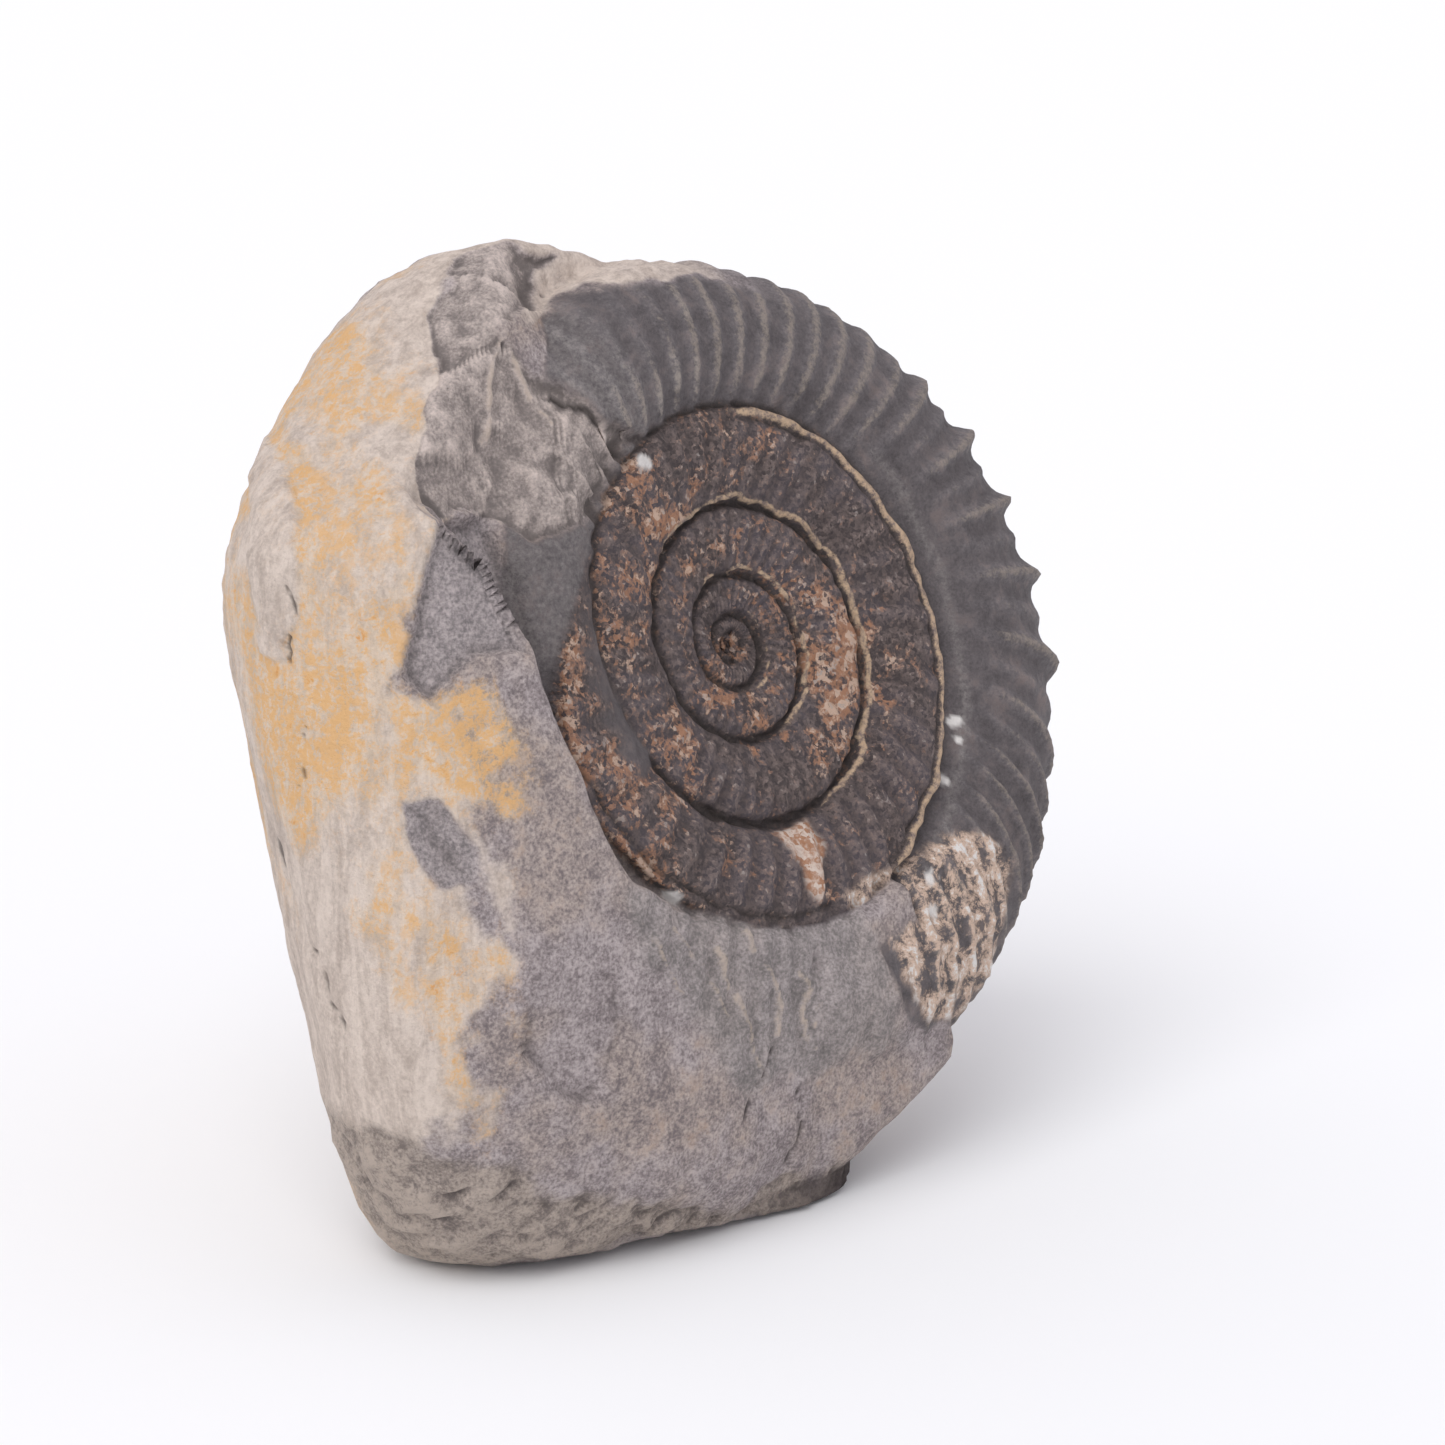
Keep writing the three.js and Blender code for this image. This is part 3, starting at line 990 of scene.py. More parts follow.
    def tell_apart(self, skin: Survey) -> tuple[Array, Array, Array, Array]:
        """Tell shell from stone.

        Args:
            skin: The skin's points.

        Returns:
            Shares of shell, of older coils, of fresh break, and of stone left as a film on the shell.
        """
        stone, tube, coils = self.parts(skin.points)
        shell = rise(-0.15, 0.45, stone - np.minimum(tube, coils) + 0.25 * skin.jitter)
        coil = rise(-0.3, 0.3, tube - coils) * shell
        broken = skin.patch(self.wear.fresh_break) * (1 - coil)
        film = rise(33.2, 34.1, skin.radius + 0.8 * skin.jitter + 0.035 * skin.degrees)
        film = film * rise(30, 8, skin.degrees) * rise(-32, -24, skin.degrees)
        film = film * (1 - coil) * rise(-9, -3, skin.w)
        below = skin.patch(self.wear.matrix_below) * (1 - coil)
        return shell * (1 - broken) * (1 - film) * (1 - below), coil, broken, film

    def seams(self, skin: Survey, coil: Array) -> tuple[Array, Array, Array, Array]:
        """Read the ribs, and what follows the seams between the turns.

        Args:
            skin: The skin's points.
            coil: Share of older coils at each.

        Returns:
            Strength of ribs, of crystal crust, of grooves, and of the pale band beside the last seam.
        """
        radius, degrees = skin.radius, skin.degrees
        under = np.where(skin.clock < math.radians(-150), skin.clock + TURN, skin.clock)
        across = self.outer.section(radius, under, skin.w)[0]
        angle, share, width = self.inner.place(radius, skin.clock)
        ridge = self.outer.ribs(under, across) * (1 - coil) + self.inner.ribs(angle, share) * coil
        past_seam = share * width * coil + (radius - self.spiral.at(skin.clock)) * (1 - coil)
        to_seam = (1 - share) * width
        sway = 0.35 * Grain(41).lumps(skin.points, 2.6)
        inner_thread = bell((past_seam - 0.45 - sway) / (0.10 + 0.008 * radius)) * coil
        last_coil = coil * rise(-6.25, -5.9, angle) * rise(0.5, 0.7, share) * rise(168, 150, degrees)
        thread = np.maximum(inner_thread, bell((to_seam - 0.85 - sway) / 0.48) * last_coil)
        thread = thread * rise(-1.0, -0.1, Grain(42).layered(skin.points, 2.2, 2) + 0.03 * (radius - 8))
        bare = rise(-75, -45, degrees) * rise(48, 30, degrees) * (1 - coil)
        left = rise(-20, -60, degrees) + rise(150, 178, degrees)
        crust = thread * (1 - bare) * (1 - 0.8 * np.clip(left, 0, 1) * coil) * rise(2.5, 5.0, radius)
        groove = coil * bell((to_seam - 0.15) / 0.26) + coil * 0.5 * bell(past_seam / 0.25)
        groove = groove + last_coil * 0.7 * bell((to_seam - 1.55 - sway) / 0.3)
        beside = (1 - coil) * bell((past_seam - 2.1 + sway) / 1.1)
        return ridge, crust, groove, beside * rise(38, 62, degrees) * rise(165, 145, degrees)

    def weather(self, skin: Survey, broken: Array, film: Array) -> tuple[Array, Array]:
        """Read the old outside of the stone.

        Args:
            skin: The skin's points.
            broken: Share of fresh break at each.
            film: Share of stone left as a film on the shell.

        Returns:
            Shares of pale weathered skin and of ochre stain.
        """
        wear = self.wear
        back = rise(-8, -20, skin.w)
        old = np.maximum(skin.patch(wear.skin), back)
        old = old * (1 - skin.patch(wear.corner_face)) * (1 - skin.patch(wear.chip))
        old = np.maximum(old, 0.75 * film) * (1 - broken)
        stains = Grain(21).layered(skin.points * np.array([1.6, 0.7, 1.0]), 9.0, 4)
        high_left = rise(-10, 8, skin.v - 0.4 * skin.w) * rise(-14, -26, skin.a)
        ochre = old * rise(-0.35, 0.75, stains + 0.85 * high_left - 0.45 * back)
        ochre = ochre * (1 - 0.85 * skin.patch(wear.tongue)) * (1 - film)
        ochre = np.maximum(ochre, skin.patch(wear.orange_lip) * rise(-0.1, 0.55, stains + 0.25))
        return old, np.maximum(ochre, skin.patch(wear.orange_low) * rise(-0.4, 0.5, stains + 0.15))

    @staticmethod
    def browned(skin: Survey) -> Array:
        """How brown the older coils are: most in a patch to the right, some left, on top and within."""
        degrees, radius = skin.degrees, skin.radius
        outside = rise(10, 13, radius)
        right_patch = bell((radius - 12.6) / 3.0) * bell((skin.clock - math.radians(112)) / 0.70)
        left_side = rise(-15, -50, degrees) * rise(-160, -115, degrees) * outside
        top_side = rise(-50, -20, degrees) * rise(50, 15, degrees) * outside
        centre = 0.04 + 0.35 * rise(10.5, 7.5, radius)
        spots = Grain(31).layered(skin.points, 2.4, 3)
        return rise(0.0, 1.1, 0.4 * spots + 1.1 * right_patch + 0.5 * left_side + 0.3 * top_side + centre)

    def specks(self, skin: Survey) -> Array:
        """How far the small white specks cover each point."""
        white = np.zeros(skin.u.shape)
        ragged = 0.7 * Grain(53).layered(skin.points, 1.2, 2)
        for at_u, at_v, size in self.wear.specks:
            away = np.hypot(skin.u - at_u, skin.v - at_v) / size
            white = np.maximum(white, rise(1.2, 0.7, away + ragged))
        return white * rise(-0.9, -0.4, Grain(51).layered(skin.points, 1.0, 2)) * skin.shown

    @staticmethod
    def dusted(skin: Survey, ridge: Array, beside: Array, outer: Array) -> Array:
        """How dusty the shell is.

        Args:
            skin: The skin's points.
            ridge: Strength of the ribs at each.
            beside: Strength of the pale band beside the last seam.
            outer: Share of outermost turn.

        Returns:
            Share of dust, on the ribs at the top, beside the seam and at the far left.
        """
        degrees = skin.degrees
        on_ribs = ridge * (0.30 + 0.70 * rise(22, -14, degrees)) * outer * rise(75, 45, degrees)
        on_ribs = on_ribs * rise(-0.9, 0.3, Grain(52).layered(skin.points, 3.0, 3))
        far_left = 0.70 * rise(-2, -24, degrees) * outer * rise(-94, -82, degrees)
        return np.maximum(np.maximum(on_ribs, 0.7 * beside), far_left)

    def read(self, skin: Survey) -> dict[Mask, Array]:
        """What the skin is made of at each point, and where shade is painted under the toe.

        Args:
            skin: The skin's points.

        Returns:
            One value from 0 to 1 for each mask but the reliefs.
        """
        wear = self.wear
        shell, coil, broken, film = self.tell_apart(skin)
        ridge, crust, groove, beside = self.seams(skin, coil)
        old, ochre = self.weather(skin, broken, film)
        rock = 1 - shell
        # the bottom of the stone, where shade is painted under the toe
        low = rise(3.4, 2.2, self.stance.height(skin.points) + 0.5 * skin.jitter)
        wedge = inside_outline(skin.u, skin.v, wear.pale_wedge) + 0.7 * skin.jitter
        return {
            Mask.SHELL: shell,
            Mask.COIL: coil,
            Mask.RIDGE: ridge * shell,
            Mask.CRUST: crust * shell,
            Mask.GROOVE: groove * shell,
            Mask.SKIN: old * rock,
            Mask.OCHRE: ochre * rock,
            Mask.BREAK: broken,
            Mask.FOOT: skin.patch(wear.foot_band) * rock,
            Mask.MOULD: skin.patch(wear.mould) * rock,
            Mask.VEIN: np.max(self.lines(skin, wear.veins), axis=0) * skin.shown * rock,
            Mask.CRACK: np.max(self.lines(skin, wear.cracks), axis=0) * skin.shown,
            # painted shade: the bottom of the stone at the right end of the foot, under the toe
            Mask.SHADE_UNDER_TOE: low * rise(*self.toe_across, skin.u) * rise(-26, -14, skin.w),
            Mask.CHIP: np.maximum(skin.patch(wear.chip), skin.patch(wear.corner_face)),
            Mask.BROKEN: skin.patch(wear.broken_shell),
            Mask.PALE: rise(-0.4, 0.3, wedge) * shell,
            Mask.BROWN: coil * self.browned(skin),
            Mask.WHITE: self.specks(skin),
            Mask.DUST: self.dusted(skin, ridge, beside, 1 - coil) * shell,
        }

    def carve_stone(self, skin: Survey, masks: dict[Mask, Array]) -> Array:
        """How far to move the stone outwards for its grain, breaks, chips, veins and cracks.

        Args:
            skin: The skin's points.
            masks: What the skin is made of at each.

        Returns:
            Distances in millimetres.
        """
        points, a, b, wear = skin.points, skin.a, skin.b, self.wear
        stone, seen = 1 - masks[Mask.SHELL], skin.facing
        drawn = points * np.array([1.3, 0.55, 1.3])
        warped = points + 0.8 * Grain(61).lumps(points, 2.0)[..., None]
        swell = Grain(11).lumps(points, 15.0)

        # the weathered stone, with its grain drawn out upwards
        lumps = 0.45 * swell + 0.32 * Grain(12).lumps(drawn, 6.0) - 0.25
        fine = 0.17 * Grain(13).lumps(drawn, 2.4) + 0.11 * Grain(14).lumps(points, 1.2)
        fine += 0.10 * rise(0.1, 0.5, Grain(35).layered(drawn, 3.4, 2))
        move = stone * (lumps + fine)

        # the fresh break, in tilted flats
        struck = 0.75 * Grain(36).facets(warped * np.array([1.0, 0.8, 1.0]), 9.0)
        struck += 0.26 * Grain(15).facets(warped, 4.2) + 0.6 * swell
        struck += 0.12 * Grain(16).lumps(points, 1.8) + 0.10 * Grain(37).lumps(points, 0.9) - 0.6
        move += masks[Mask.BREAK] * (self.smoothed(struck, 1) - lumps - 0.2)

        # the foot, worn into dishes
        dented = 0.9 * Grain(17).dishes(points * np.array([1.0, 1.3, 1.0]), 6.5)
        dented += 0.65 * Grain(18).facets(warped, 3.4) + 0.22 * Grain(38).lumps(points, 1.3) - 0.5
        move += masks[Mask.FOOT] * dented

        # outlined parts, each cut back or left standing, and the lines
        move -= seen * stone * 0.9 * wear.corner_face.cover(a, b, skin.jitter)
        into_chip = rise(-0.3, 2.2, inside_outline(a, b, wear.chip.outline))
        move -= seen * (0.35 * masks[Mask.CHIP] + 1.1 * into_chip)
        flake = inside_outline(a, b, wear.flake.outline) + 0.15 * skin.jitter
        move -= seen * stone * rise(-0.12, 0.2, flake) * rise(-22, -30, b)
        move += seen * stone * 0.45 * wear.tongue.cover(a, b, skin.jitter)
        move += masks[Mask.MOULD] * 0.35 * crest(skin.degrees / 5.2 + 0.06 * skin.radius, 1.5)
        drawn_lines = wear.veins + wear.cracks
        for line, near in zip(drawn_lines, self.lines(skin, drawn_lines)):
            move += seen * stone * line.height * near
        (at_a, at_b), (half_a, half_b) = wear.hollow_at, wear.hollow_size
        return move - 0.9 * seen * bell(np.hypot((a - at_a) / half_a, (b - at_b) / half_b))

    @staticmethod
    def carve_shell(skin: Survey, masks: dict[Mask, Array]) -> Array:
        """How far to move the shell outwards for its flaking, grain, seams and broken part.

        Args:
            skin: The skin's points.
            masks: What the skin is made of at each.

        Returns:
            Distances in millimetres.
        """
        points, shell = skin.points, masks[Mask.SHELL]
        flaked = rise(0.15, 0.4, Grain(19).layered(points, 4.5, 3))
        move = -shell * 0.16 * flaked * (1 - 0.4 * masks[Mask.RIDGE])
        move += shell * (0.07 * Grain(20).lumps(points, 1.6) + 0.05 * Grain(22).lumps(points, 0.8))
        grainy = 0.20 * Grain(23).lumps(points, 2.2) + 0.14 * Grain(24).lumps(points, 1.0)
        move += masks[Mask.COIL] * grainy
        move += masks[Mask.CRUST] * (0.22 + 0.25 * skin.jitter) - masks[Mask.GROOVE] * 0.50
        move += masks[Mask.PALE] * 0.18
        return move + masks[Mask.BROKEN] * shell * 0.35 * Grain(62).layered(points, 2.2, 3)

    def build(self) -> bpy.types.Object:
        """Make the fossil's mesh, with its masks, in the frame.

        Returns:
            The fossil.
        """
        points = self.eased(self.skin())
        outward = self.outward(points)
        skin = Survey(points, outward)
        masks = self.read(skin)
        move = self.carve_stone(skin, masks) + self.carve_shell(skin, masks)
        move = move * rise(0.0, 1.2, self.stance.height(points))
        points = points + outward * move[..., None]
        outward = self.outward(points)
        masks[Mask.FINE_RELIEF] = self.relief(points, outward, 3)
        masks[Mask.WIDE_RELIEF] = self.relief(points, outward, 24)
        placed = self.stance.stand(points)
        placed[..., 2] = np.maximum(placed[..., 2], 0.0)

        mesh = bpy.data.meshes.new("fossil")
        mesh.from_pydata((placed.reshape(-1, 3) * MM).tolist(), [], self.weave.faces())
        mesh.update()
        mesh.polygons.foreach_set("use_smooth", np.ones(len(mesh.polygons), dtype=bool))
        for mask, values in masks.items():
            layer = mesh.attributes.new(mask.value, "FLOAT", "POINT")
            layer.data.foreach_set("value", values.reshape(-1).astype(np.float32))
        return put_in_scene("fossil", mesh)


# ------------------------------------------------------------------ shader sums

Number = float | int
Colour = Triple


@dataclass(frozen=True)
class Wire:
    """A value in a material, which takes sums like a number."""

    bench: "Bench"
    socket: bpy.types.NodeSocket

    def _sum(self, how: str, first: "Wire | Number", second: "Wire | Number") -> "Wire":
        """One Math node."""
        return self.bench.node("ShaderNodeMath", {"operation": how}, {0: first, 1: second})

    def __add__(self, other: "Wire | Number") -> "Wire":
        """This plus the other."""
        return self._sum("ADD", self, other)

    __radd__ = __add__

    def __mul__(self, other: "Wire | Number") -> "Wire":
        """This times the other."""
        return self._sum("MULTIPLY", self, other)

    __rmul__ = __mul__

    def __sub__(self, other: "Wire | Number") -> "Wire":
        """This less the other."""
        return self._sum("SUBTRACT", self, other)

    def __rsub__(self, other: "Wire | Number") -> "Wire":
        """The other less this."""
        return self._sum("SUBTRACT", other, self)

    def between(self, low: float, high: float) -> "Wire":
        """0 below low, 1 above high and a smooth rise in between."""
        settings = {"interpolation_type": "SMOOTHSTEP", "clamp": True}
        values = {"Value": self, "From Min": low, "From Max": high}
        return self.bench.node("ShaderNodeMapRange", settings, values)


@dataclass
class Bench:
    """Where a material's nodes are made and joined."""

    tree: bpy.types.NodeTree

    def node(self, kind: str, settings: dict, values: dict, out: int | str = 0) -> Wire:
        """Make a node.

        Args:
            kind: The node's type.
            settings: Its properties, set first.
            values: Numbers, colours or wires for its sockets, by name or number.
            out: Which of its outputs to hand back.

        Returns:
            The chosen output.
        """
        made = self.tree.nodes.new(kind)
        for name, value in settings.items():
            setattr(made, name, value)
        for name, value in values.items():
            if isinstance(value, Wire):
                self.tree.links.new(value.socket, made.inputs[name])
            else:
                made.inputs[name].default_value = value
        return Wire(self, made.outputs[out])

    def finish(self, surface: Wire) -> None:
        """Join the finished surface to the material's output."""
        end = self.tree.nodes.new("ShaderNodeOutputMaterial")
        self.tree.links.new(surface.socket, end.inputs["Surface"])

    def __getitem__(self, mask: Mask) -> Wire:
        """A mask kept on the mesh."""
        return self.node("ShaderNodeAttribute", {"attribute_name": mask.value}, {}, "Fac")

    def noise(
        self, place: Wire, size: float, detail: float = 4.0, rough: float = 0.6, bend: float = 0.0
    ) -> Wire:
        """Cloudy noise.

        Args:
            place: Where, in metres.
            size: Size of its clouds in millimetres.
            detail: How many finer sizes it has.
            rough: How strong the finer ones are.
            bend: How much it is pulled about.

        Returns:
            Values round 0.5.
        """
        values = {"Vector": place, "Scale": 1 / (size * MM), "Detail": detail}
        values |= {"Roughness": rough, "Distortion": bend}
        return self.node("ShaderNodeTexNoise", {"noise_dimensions": "3D"}, values)

    def crystals(self, place: Wire, size: float) -> Wire:
        """A random value for each of many small ragged grains.

        Args:
            place: Where, in metres.
            size: Size of a grain in millimetres.

        Returns:
            Values from 0 to 1, steady within a grain.
        """
        scale = 1 / (size * MM)
        clouds = {"Vector": place, "Scale": scale, "Detail": 2.0}
        ragged = self.node("ShaderNodeTexNoise", {}, clouds, "Color")
        reach = 0.9 * size * MM
        pull = self.node("ShaderNodeVectorMath", {"operation": "SCALE"}, {0: ragged, "Scale": reach})
        moved = self.node("ShaderNodeVectorMath", {"operation": "ADD"}, {0: place, 1: pull})
        cells = self.node("ShaderNodeTexVoronoi", {}, {"Vector": moved, "Scale": scale}, "Color")
        return self.node("ShaderNodeSeparateColor", {}, {"Color": cells})

    def mix(self, share: Wire | float, first: Wire | Colour, second: Wire | Colour) -> Wire:
        """A blend of two colours.

        Args:
            share: How much of the second, from 0 to 1.
            first: One colour.
            second: The other.

        Returns:
            The blend.
        """
        def rgba(colour: Wire | Colour) -> Wire | tuple[float, ...]:
            """A colour with its alpha, or a wire as it is."""
            return colour if isinstance(colour, Wire) else (*colour, 1.0)

        values = {0: share, 6: rgba(first), 7: rgba(second)}
        return self.node("ShaderNodeMix", {"data_type": "RGBA", "clamp_factor": True}, values, 2)

    def stretch(self, place: Wire, by: Triple) -> Wire:
        """Places stretched along the axes, so that a noise read there is drawn out."""
        return self.node("ShaderNodeVectorMath", {"operation": "MULTIPLY"}, {0: place, 1: by})


@dataclass(frozen=True)
class StoneFinish:
    """Colours of the stone, the stains on it and the shell in it, and how they are laid.

    A noise lies round 0.5, so a coat that shows between two limits near 0.5 is a patchy one.
    """

    grey_dark: Colour = (0.200, 0.168, 0.170)
    grey_light: Colour = (0.560, 0.492, 0.485)
    grey_warm: Colour = (0.560, 0.465, 0.405)
    grey_brown: Colour = (0.400, 0.270, 0.195)
    skin_dull: Colour = (0.470, 0.390, 0.335)
    skin_pale: Colour = (0.770, 0.665, 0.580)
    warm_tint: Colour = (0.730, 0.540, 0.340)
    ochre: Colour = (0.780, 0.460, 0.190)
    orange: Colour = (0.700, 0.300, 0.070)
    break_dark: Colour = (0.235, 0.203, 0.190)
    break_light: Colour = (0.760, 0.650, 0.590)
    chip_grey: Colour = (0.215, 0.195, 0.195)
    foot_dark: Colour = (0.205, 0.172, 0.155)
    foot_light: Colour = (0.560, 0.470, 0.400)
    mould_grey: Colour = (0.190, 0.178, 0.168)
    vein: Colour = (0.580, 0.480, 0.400)
    crack: Colour = (0.040, 0.032, 0.028)
    shell_dark: Colour = (0.085, 0.075, 0.078)
    shell_grey: Colour = (0.225, 0.202, 0.206)
    shell_dust: Colour = (0.400, 0.370, 0.350)
    rib_tan: Colour = (0.380, 0.320, 0.265)
    coil_dark: Colour = (0.060, 0.047, 0.047)
    coil_brown: Colour = (0.260, 0.200, 0.180)
    coil_purple: Colour = (0.088, 0.074, 0.084)
    rust: Colour = (0.470, 0.235, 0.130)
    tan: Colour = (0.660, 0.490, 0.380)
    crust: Colour = (0.640, 0.465, 0.310)
    wedge: Colour = (0.780, 0.650, 0.560)
    calcite: Colour = (0.800, 0.770, 0.740)
    stone_rough: float = 0.92
    shell_gloss: float = 0.28
    specular: float = 0.35
    bump_strength: float = 0.85
    bump_depth: float = 0.65

    def stone(self, bench: Bench, place: Wire) -> Wire:
        """Colour of the stone.

        Args:
            bench: The material's bench.
            place: Position in metres.

        Returns:
            The colour.
        """
        speck, fine = bench.noise(place, 0.30, 2, 0.6), bench.noise(place, 0.8, 4, 0.7)
        middle, broad = bench.noise(place, 2.6, 5, 0.65), bench.noise(place, 11, 3)
        drawn = bench.noise(bench.stretch(place, (1.0, 1.0, 0.25)), 1.8, 5, 0.7, 0.5)
        mottle = speck * 0.45 + fine * 0.35 + middle * 0.35

        # plain grey stone, warmer in clouds and here and there a little rusty
        grey = bench.mix(mottle.between(0.42, 0.74), self.grey_dark, self.grey_light)
        warm = bench.mix(mottle.between(0.42, 0.74), self.grey_dark, self.grey_warm)
        grey = bench.mix(broad.between(0.42, 0.58) * 0.85, grey, warm)
        rusted = (middle * 0.7 + broad * 0.6 + fine * 0.2).between(0.82, 0.96)
        grey = bench.mix(rusted * 0.45, grey, self.grey_brown)

        # the fresh break, in its own mottled tone, with painted light where it stands proud and painted
        # shade in its hollows
        raised = mottle + bench[Mask.FINE_RELIEF] * 1.1 + bench[Mask.WIDE_RELIEF] * 0.18
        struck = bench.mix(raised.between(0.38, 0.90), self.break_dark, self.break_light)
        colour = bench.mix(bench[Mask.BREAK], grey, struck)

        # the weathered skin, with its ochre stain from a faint tint to grains of orange
        weathered = (speck * 0.25 + fine * 0.40 + drawn * 0.80).between(0.50, 0.90)
        skin = bench.mix(weathered, self.skin_dull, self.skin_pale)
        skinned = bench[Mask.SKIN]
        colour = bench.mix((skinned + (middle - 0.5) * 0.8 * skinned).between(0.25, 0.85), colour, skin)
        stain = bench[Mask.OCHRE]
        grains = bench.noise(place, 0.9, 6, 0.80, 0.4)
        streaks = bench.noise(bench.stretch(place, (1.0, 1.0, 0.4)), 4.2, 5, 0.7, 0.8)
        tint = (stain * 0.45 + streaks * 0.8).between(0.40, 0.72)
        colour = bench.mix(stain * tint * (grains * 1.1 - 0.1), colour, self.warm_tint)
        granular = (grains * 1.0 + streaks * 0.6 + speck * 0.14 + stain * 0.12).between(0.895, 1.065)
        colour = bench.mix(stain * granular * 0.85, colour, self.ochre)
        deep = (grains * 0.8 + bench.noise(place, 3.3, 4, 0.7) * 0.6).between(0.82, 0.92)
        colour = bench.mix(stain * deep * 0.8, colour, self.orange)

        # the foot, the mould of lost ribs, the veins, the chips and the shade painted under the toe
        # the foot in its own mottled tone, a little paler where it stands proud and darker in its dishes:
        # painted light and shade from the relief
        footing = mottle + (grains - 0.5) * 0.9 + bench[Mask.FINE_RELIEF] * 0.4
        foot = bench.mix(footing.between(0.38, 0.80), self.foot_dark, self.foot_light)
        colour = bench.mix(bench[Mask.FOOT] * 0.9, colour, foot)
        mould = bench.mix(mottle.between(0.40, 0.85), self.mould_grey, self.grey_light)
        colour = bench.mix(bench[Mask.MOULD] * 0.8, colour, mould)
        veined = (bench[Mask.VEIN] * 0.8 + (grains - 0.5) * 1.5).between(0.30, 0.85)
        colour = bench.mix(veined * 0.8, colour, self.vein)
        chip = bench.mix((speck * 0.6 + fine * 0.5).between(0.35, 0.80), self.chip_grey, self.grey_light)
        colour = bench.mix(bench[Mask.CHIP] * 0.95, colour, chip)
        # painted shade under the toe: the stone there darkened almost to black
        return bench.mix(bench[Mask.SHADE_UNDER_TOE] * 0.9, colour, self.coil_dark)

    def outer_shell(self, bench: Bench, place: Wire) -> Wire:
        """Colour of the outer turn: dark grey, browned in patches, dusty on its ribs and with shade painted
        between them.

        Args:
            bench: The material's bench.
            place: Position in metres.

        Returns:
            The colour.
        """
        speck, fine = bench.noise(place, 0.28, 3, 0.7), bench.noise(place, 0.8, 5, 0.75)
        middle = bench.noise(place, 3.0, 5, 0.65, 0.5)
        mottle = (speck * 0.3 + fine * 0.4 + middle * 0.45).between(0.40, 0.78)
        colour = bench.mix(mottle, self.shell_dark, self.shell_grey)
        worn = (middle * 0.8 + fine * 0.4).between(0.60, 0.80)
        colour = bench.mix(worn * 0.55, colour, self.coil_brown)
        dust = bench[Mask.DUST]
        grains = bench.noise(place, 0.55, 5, 0.8)
        dusty = (dust * 0.7 + (grains - 0.5) * 1.6).between(0.20, 0.90) * dust
        colour = bench.mix(dusty, colour, self.shell_dust)
        ridge = bench[Mask.RIDGE]
        # painted shade between the ribs, in the near-black coil colour
        colour = bench.mix((0.42 - ridge + (fine - 0.5)).between(0.0, 0.6) * 0.35, colour, self.coil_dark)
        return bench.mix((ridge * 0.6 + grains * 1.3).between(0.96, 1.35) * 0.6, colour, self.rib_tan)

    def inner_shell(self, bench: Bench, place: Wire) -> Wire:
        """Colour of the older coils: dark, granular, with rust and tan crystals, and with shade painted
        between their ribs.

        Args:
            bench: The material's bench.
            place: Position in metres.

        Returns:
            The colour.
        """
        speck, fine = bench.noise(place, 0.24, 3, 0.7), bench.noise(place, 0.6, 6, 0.8, 0.4)
        middle, broad = bench.noise(place, 2.6, 5, 0.7, 0.8), bench.noise(place, 8.0, 3)
        small, large = bench.crystals(place, 0.38), bench.crystals(place, 0.85)
        dark = bench.mix(broad.between(0.42, 0.58), self.coil_dark, self.coil_purple)
        mottle = (speck * 0.3 + fine * 0.6 + small * 0.22).between(0.40, 0.78)
        colour = bench.mix(mottle, dark, self.coil_brown)
        ridge, brown = bench[Mask.RIDGE], bench[Mask.BROWN]
        # painted shade between the ribs, in the near-black coil colour
        colour = bench.mix((0.5 - ridge + (fine - 0.5)).between(0.0, 0.6) * 0.5, colour, self.coil_dark)
        rusty = (fine * 0.7 + middle * 0.6 + small * 0.22 + brown * 0.34).between(0.87, 1.06)
        colour = bench.mix(rusty * 0.8, colour, self.rust)
        flecks = (fine * 0.5 + middle * 0.5 + large * 0.28 + small * 0.16 + brown * 0.26).between(0.94, 1.06)
        colour = bench.mix(flecks * 0.85, colour, self.tan)
        pale = (small * 0.55 + fine * 0.6 + brown * 0.06 + ridge * 0.05).between(0.86, 0.93)
        return bench.mix(pale * 0.7, colour, self.shell_dust)

    def shell(self, bench: Bench, place: Wire) -> Wire:
        """Colour of the whole shell, with the seams, shade painted in their grooves, broken ribs and
        crystals.

        Args:
            bench: The material's bench.
            place: Position in metres.

        Returns:
            The colour.
        """
        outer, inner = self.outer_shell(bench, place), self.inner_shell(bench, place)
        colour = bench.mix(bench[Mask.COIL], outer, inner)
        grains, broad = bench.noise(place, 0.7, 5, 0.8), bench.noise(place, 2.6, 6, 0.8, 0.3)
        # painted shade in the grooves along the seams, in the near-black crack colour
        colour = bench.mix(bench[Mask.GROOVE] * 0.75, colour, self.crack)
        crust = bench.mix(grains.between(0.34, 0.60), self.coil_brown, self.crust)
        crusted = (bench[Mask.CRUST] * 1.2 + (grains - 0.5) * 1.3).between(0.35, 0.85)
        colour = bench.mix(crusted, colour, crust)
        ridge, broken = bench[Mask.RIDGE], bench[Mask.BROKEN]
        dark = (broad * 0.9 - ridge * 0.10 + 0.1).between(0.48, 0.60)
        tan = (ridge * 0.10 + broad * 1.1).between(0.50, 0.62)
        white = (ridge * 0.08 + broad * 1.1).between(0.62, 0.70)
        for share, coat in ((dark, self.coil_dark), (tan, self.tan), (white, self.calcite)):
            colour = bench.mix(broken * share, colour, coat)
        sparkle = (grains * 0.7 + bench.crystals(place, 0.5) * 0.3).between(0.36, 0.62)
        wedge = bench.mix(sparkle, self.rust, self.wedge)
        colour = bench.mix(bench[Mask.PALE] * 0.95, colour, wedge)
        return bench.mix(bench[Mask.WHITE], colour, self.calcite)

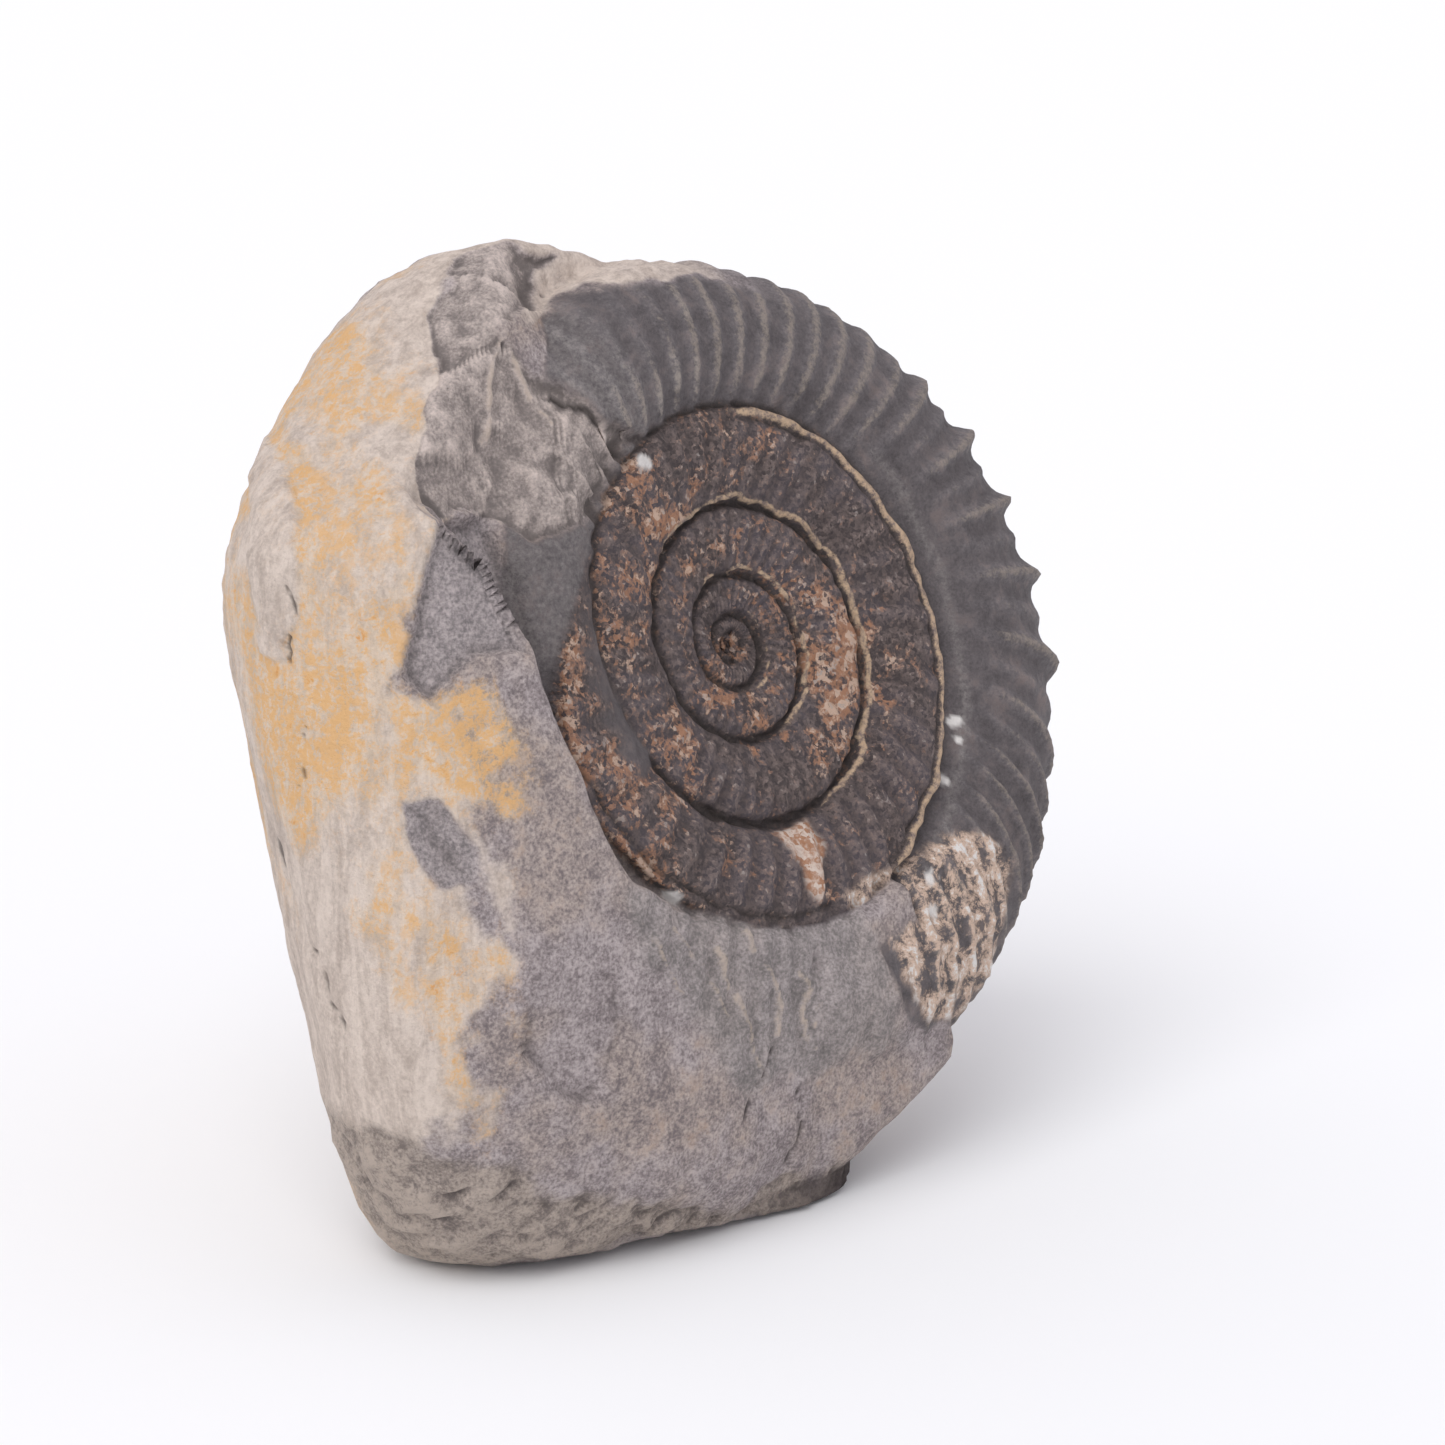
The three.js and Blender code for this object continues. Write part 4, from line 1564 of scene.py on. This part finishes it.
    def dress(self, piece: bpy.types.Object) -> None:
        """Give the fossil its one material.

        Args:
            piece: The fossil.
        """
        material = bpy.data.materials.new("limestone_and_shell")
        material.use_nodes = True
        tree = material.node_tree
        tree.nodes.clear()
        bench = Bench(tree)
        place = bench.node("ShaderNodeTexCoord", {}, {}, "Object")
        shell = bench[Mask.SHELL]
        colour = bench.mix(shell, self.stone(bench, place), self.shell(bench, place))
        # painted shade: stone and shell darkened towards the near-black crack colour wherever the skin lies
        # below its surroundings
        painted_hollow_shade = (bench[Mask.FINE_RELIEF] * -3.2 + bench[Mask.WIDE_RELIEF] * -0.55).between(0.10, 1.0)
        colour = bench.mix(painted_hollow_shade * 0.45, colour, bench.mix(0.75, colour, self.crack))
        colour = bench.mix(bench[Mask.CRACK].between(0.50, 1.05) * 0.75, colour, self.crack)
        fine, grit = bench.noise(place, 0.45, 5, 0.75), bench.noise(place, 1.4, 6, 0.7)
        rugged = bench[Mask.COIL] * 0.9 + bench[Mask.BREAK] * 0.7 + bench[Mask.FOOT] * 0.9
        height = fine * 0.6 + grit * (0.8 + rugged)
        bumps = {"Strength": self.bump_strength, "Distance": self.bump_depth * MM, "Height": height}
        bump = bench.node("ShaderNodeBump", {}, bumps)
        rough = self.stone_rough - shell * self.shell_gloss + (fine - 0.5) * 0.25
        principled = bench.node("ShaderNodeBsdfPrincipled", {}, {
            "Base Color": colour, "Roughness": rough, "Normal": bump, "Specular IOR Level": self.specular,
        })
        bench.finish(principled)
        piece.data.materials.append(material)


# ------------------------------------------------------------------ the studio

@dataclass
class Studio:
    """A plain pale floor, soft light and the camera, in metres."""

    floor_size: float = 6.0
    floor_white: Colour = (0.900, 0.912, 0.915)
    sky_white: Colour = (0.97, 0.945, 1.0)
    sky_strength: float = 0.80
    sun_strength: float = 1.36
    sun_from: Triple = (-0.75, -0.25, 0.95)
    sun_softness: float = math.radians(50)
    camera_from_coil: Triple = (-0.2577, -0.2383, 0.0803)
    camera_azimuth: float = math.radians(-47.163)
    camera_down: float = math.radians(14.0)
    lens: float = 99.65
    sensor: float = 36.0

    def set_floor(self) -> None:
        """Lay the floor under the foot."""
        half = self.floor_size / 2
        mesh = bpy.data.meshes.new("floor")
        corners = [(-half, -half, 0), (half, -half, 0), (half, half, 0), (-half, half, 0)]
        mesh.from_pydata(corners, [], [(0, 1, 2, 3)])
        material = bpy.data.materials.new("white_paper")
        material.use_nodes = True
        paper = material.node_tree.nodes["Principled BSDF"]
        paper.inputs["Base Color"].default_value = (*self.floor_white, 1)
        paper.inputs["Roughness"].default_value = 0.9
        paper.inputs["Specular IOR Level"].default_value = 0.0
        mesh.materials.append(material)
        put_in_scene("floor", mesh)

    def set_light(self) -> None:
        """An even white surround with one very soft sun from the upper left."""
        world = bpy.data.worlds.new("studio")
        world.use_nodes = True
        sky = world.node_tree.nodes["Background"]
        sky.inputs["Color"].default_value = (*self.sky_white, 1)
        sky.inputs["Strength"].default_value = self.sky_strength
        bpy.context.scene.world = world
        sun = bpy.data.lights.new("softbox", "SUN")
        sun.energy = self.sun_strength
        sun.angle = self.sun_softness
        lamp = put_in_scene("softbox", sun)
        lamp.rotation_euler = (-Vector(self.sun_from)).to_track_quat("-Z", "Y").to_euler()
        bpy.context.scene.view_settings.view_transform = "Standard"

    def set_camera(self, stance: Stance) -> None:
        """Stand the camera at the front left, looking a little down.

        Args:
            stance: Where the fossil stands.
        """
        camera = bpy.data.cameras.new("camera")
        camera.lens = self.lens
        camera.sensor_width = self.sensor
        camera.clip_start = 0.01
        stand = put_in_scene("camera", camera)
        stand.location = Vector((stance.origin() * MM).tolist()) + Vector(self.camera_from_coil)
        level = math.cos(self.camera_down)
        way = Vector((
            -math.sin(self.camera_azimuth) * level,
            math.cos(self.camera_azimuth) * level,
            -math.sin(self.camera_down),
        ))
        stand.rotation_euler = way.to_track_quat("-Z", "Y").to_euler()
        bpy.context.scene.camera = stand


def main() -> None:
    """Build the fossil, dress it and set the studio round it."""
    logging.basicConfig(level=logging.INFO, format="%(name)s: %(message)s")
    fossil = Fossil()
    studio = Studio()
    studio.set_camera(fossil.stance)
    studio.set_floor()
    studio.set_light()
    piece = fossil.build()
    StoneFinish().dress(piece)
    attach(piece, "root")
    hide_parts(NODE)
    LOG.info("%s: %d faces, one piece of stone", piece.name, len(piece.data.polygons))


if __name__ == "__main__":
    main()
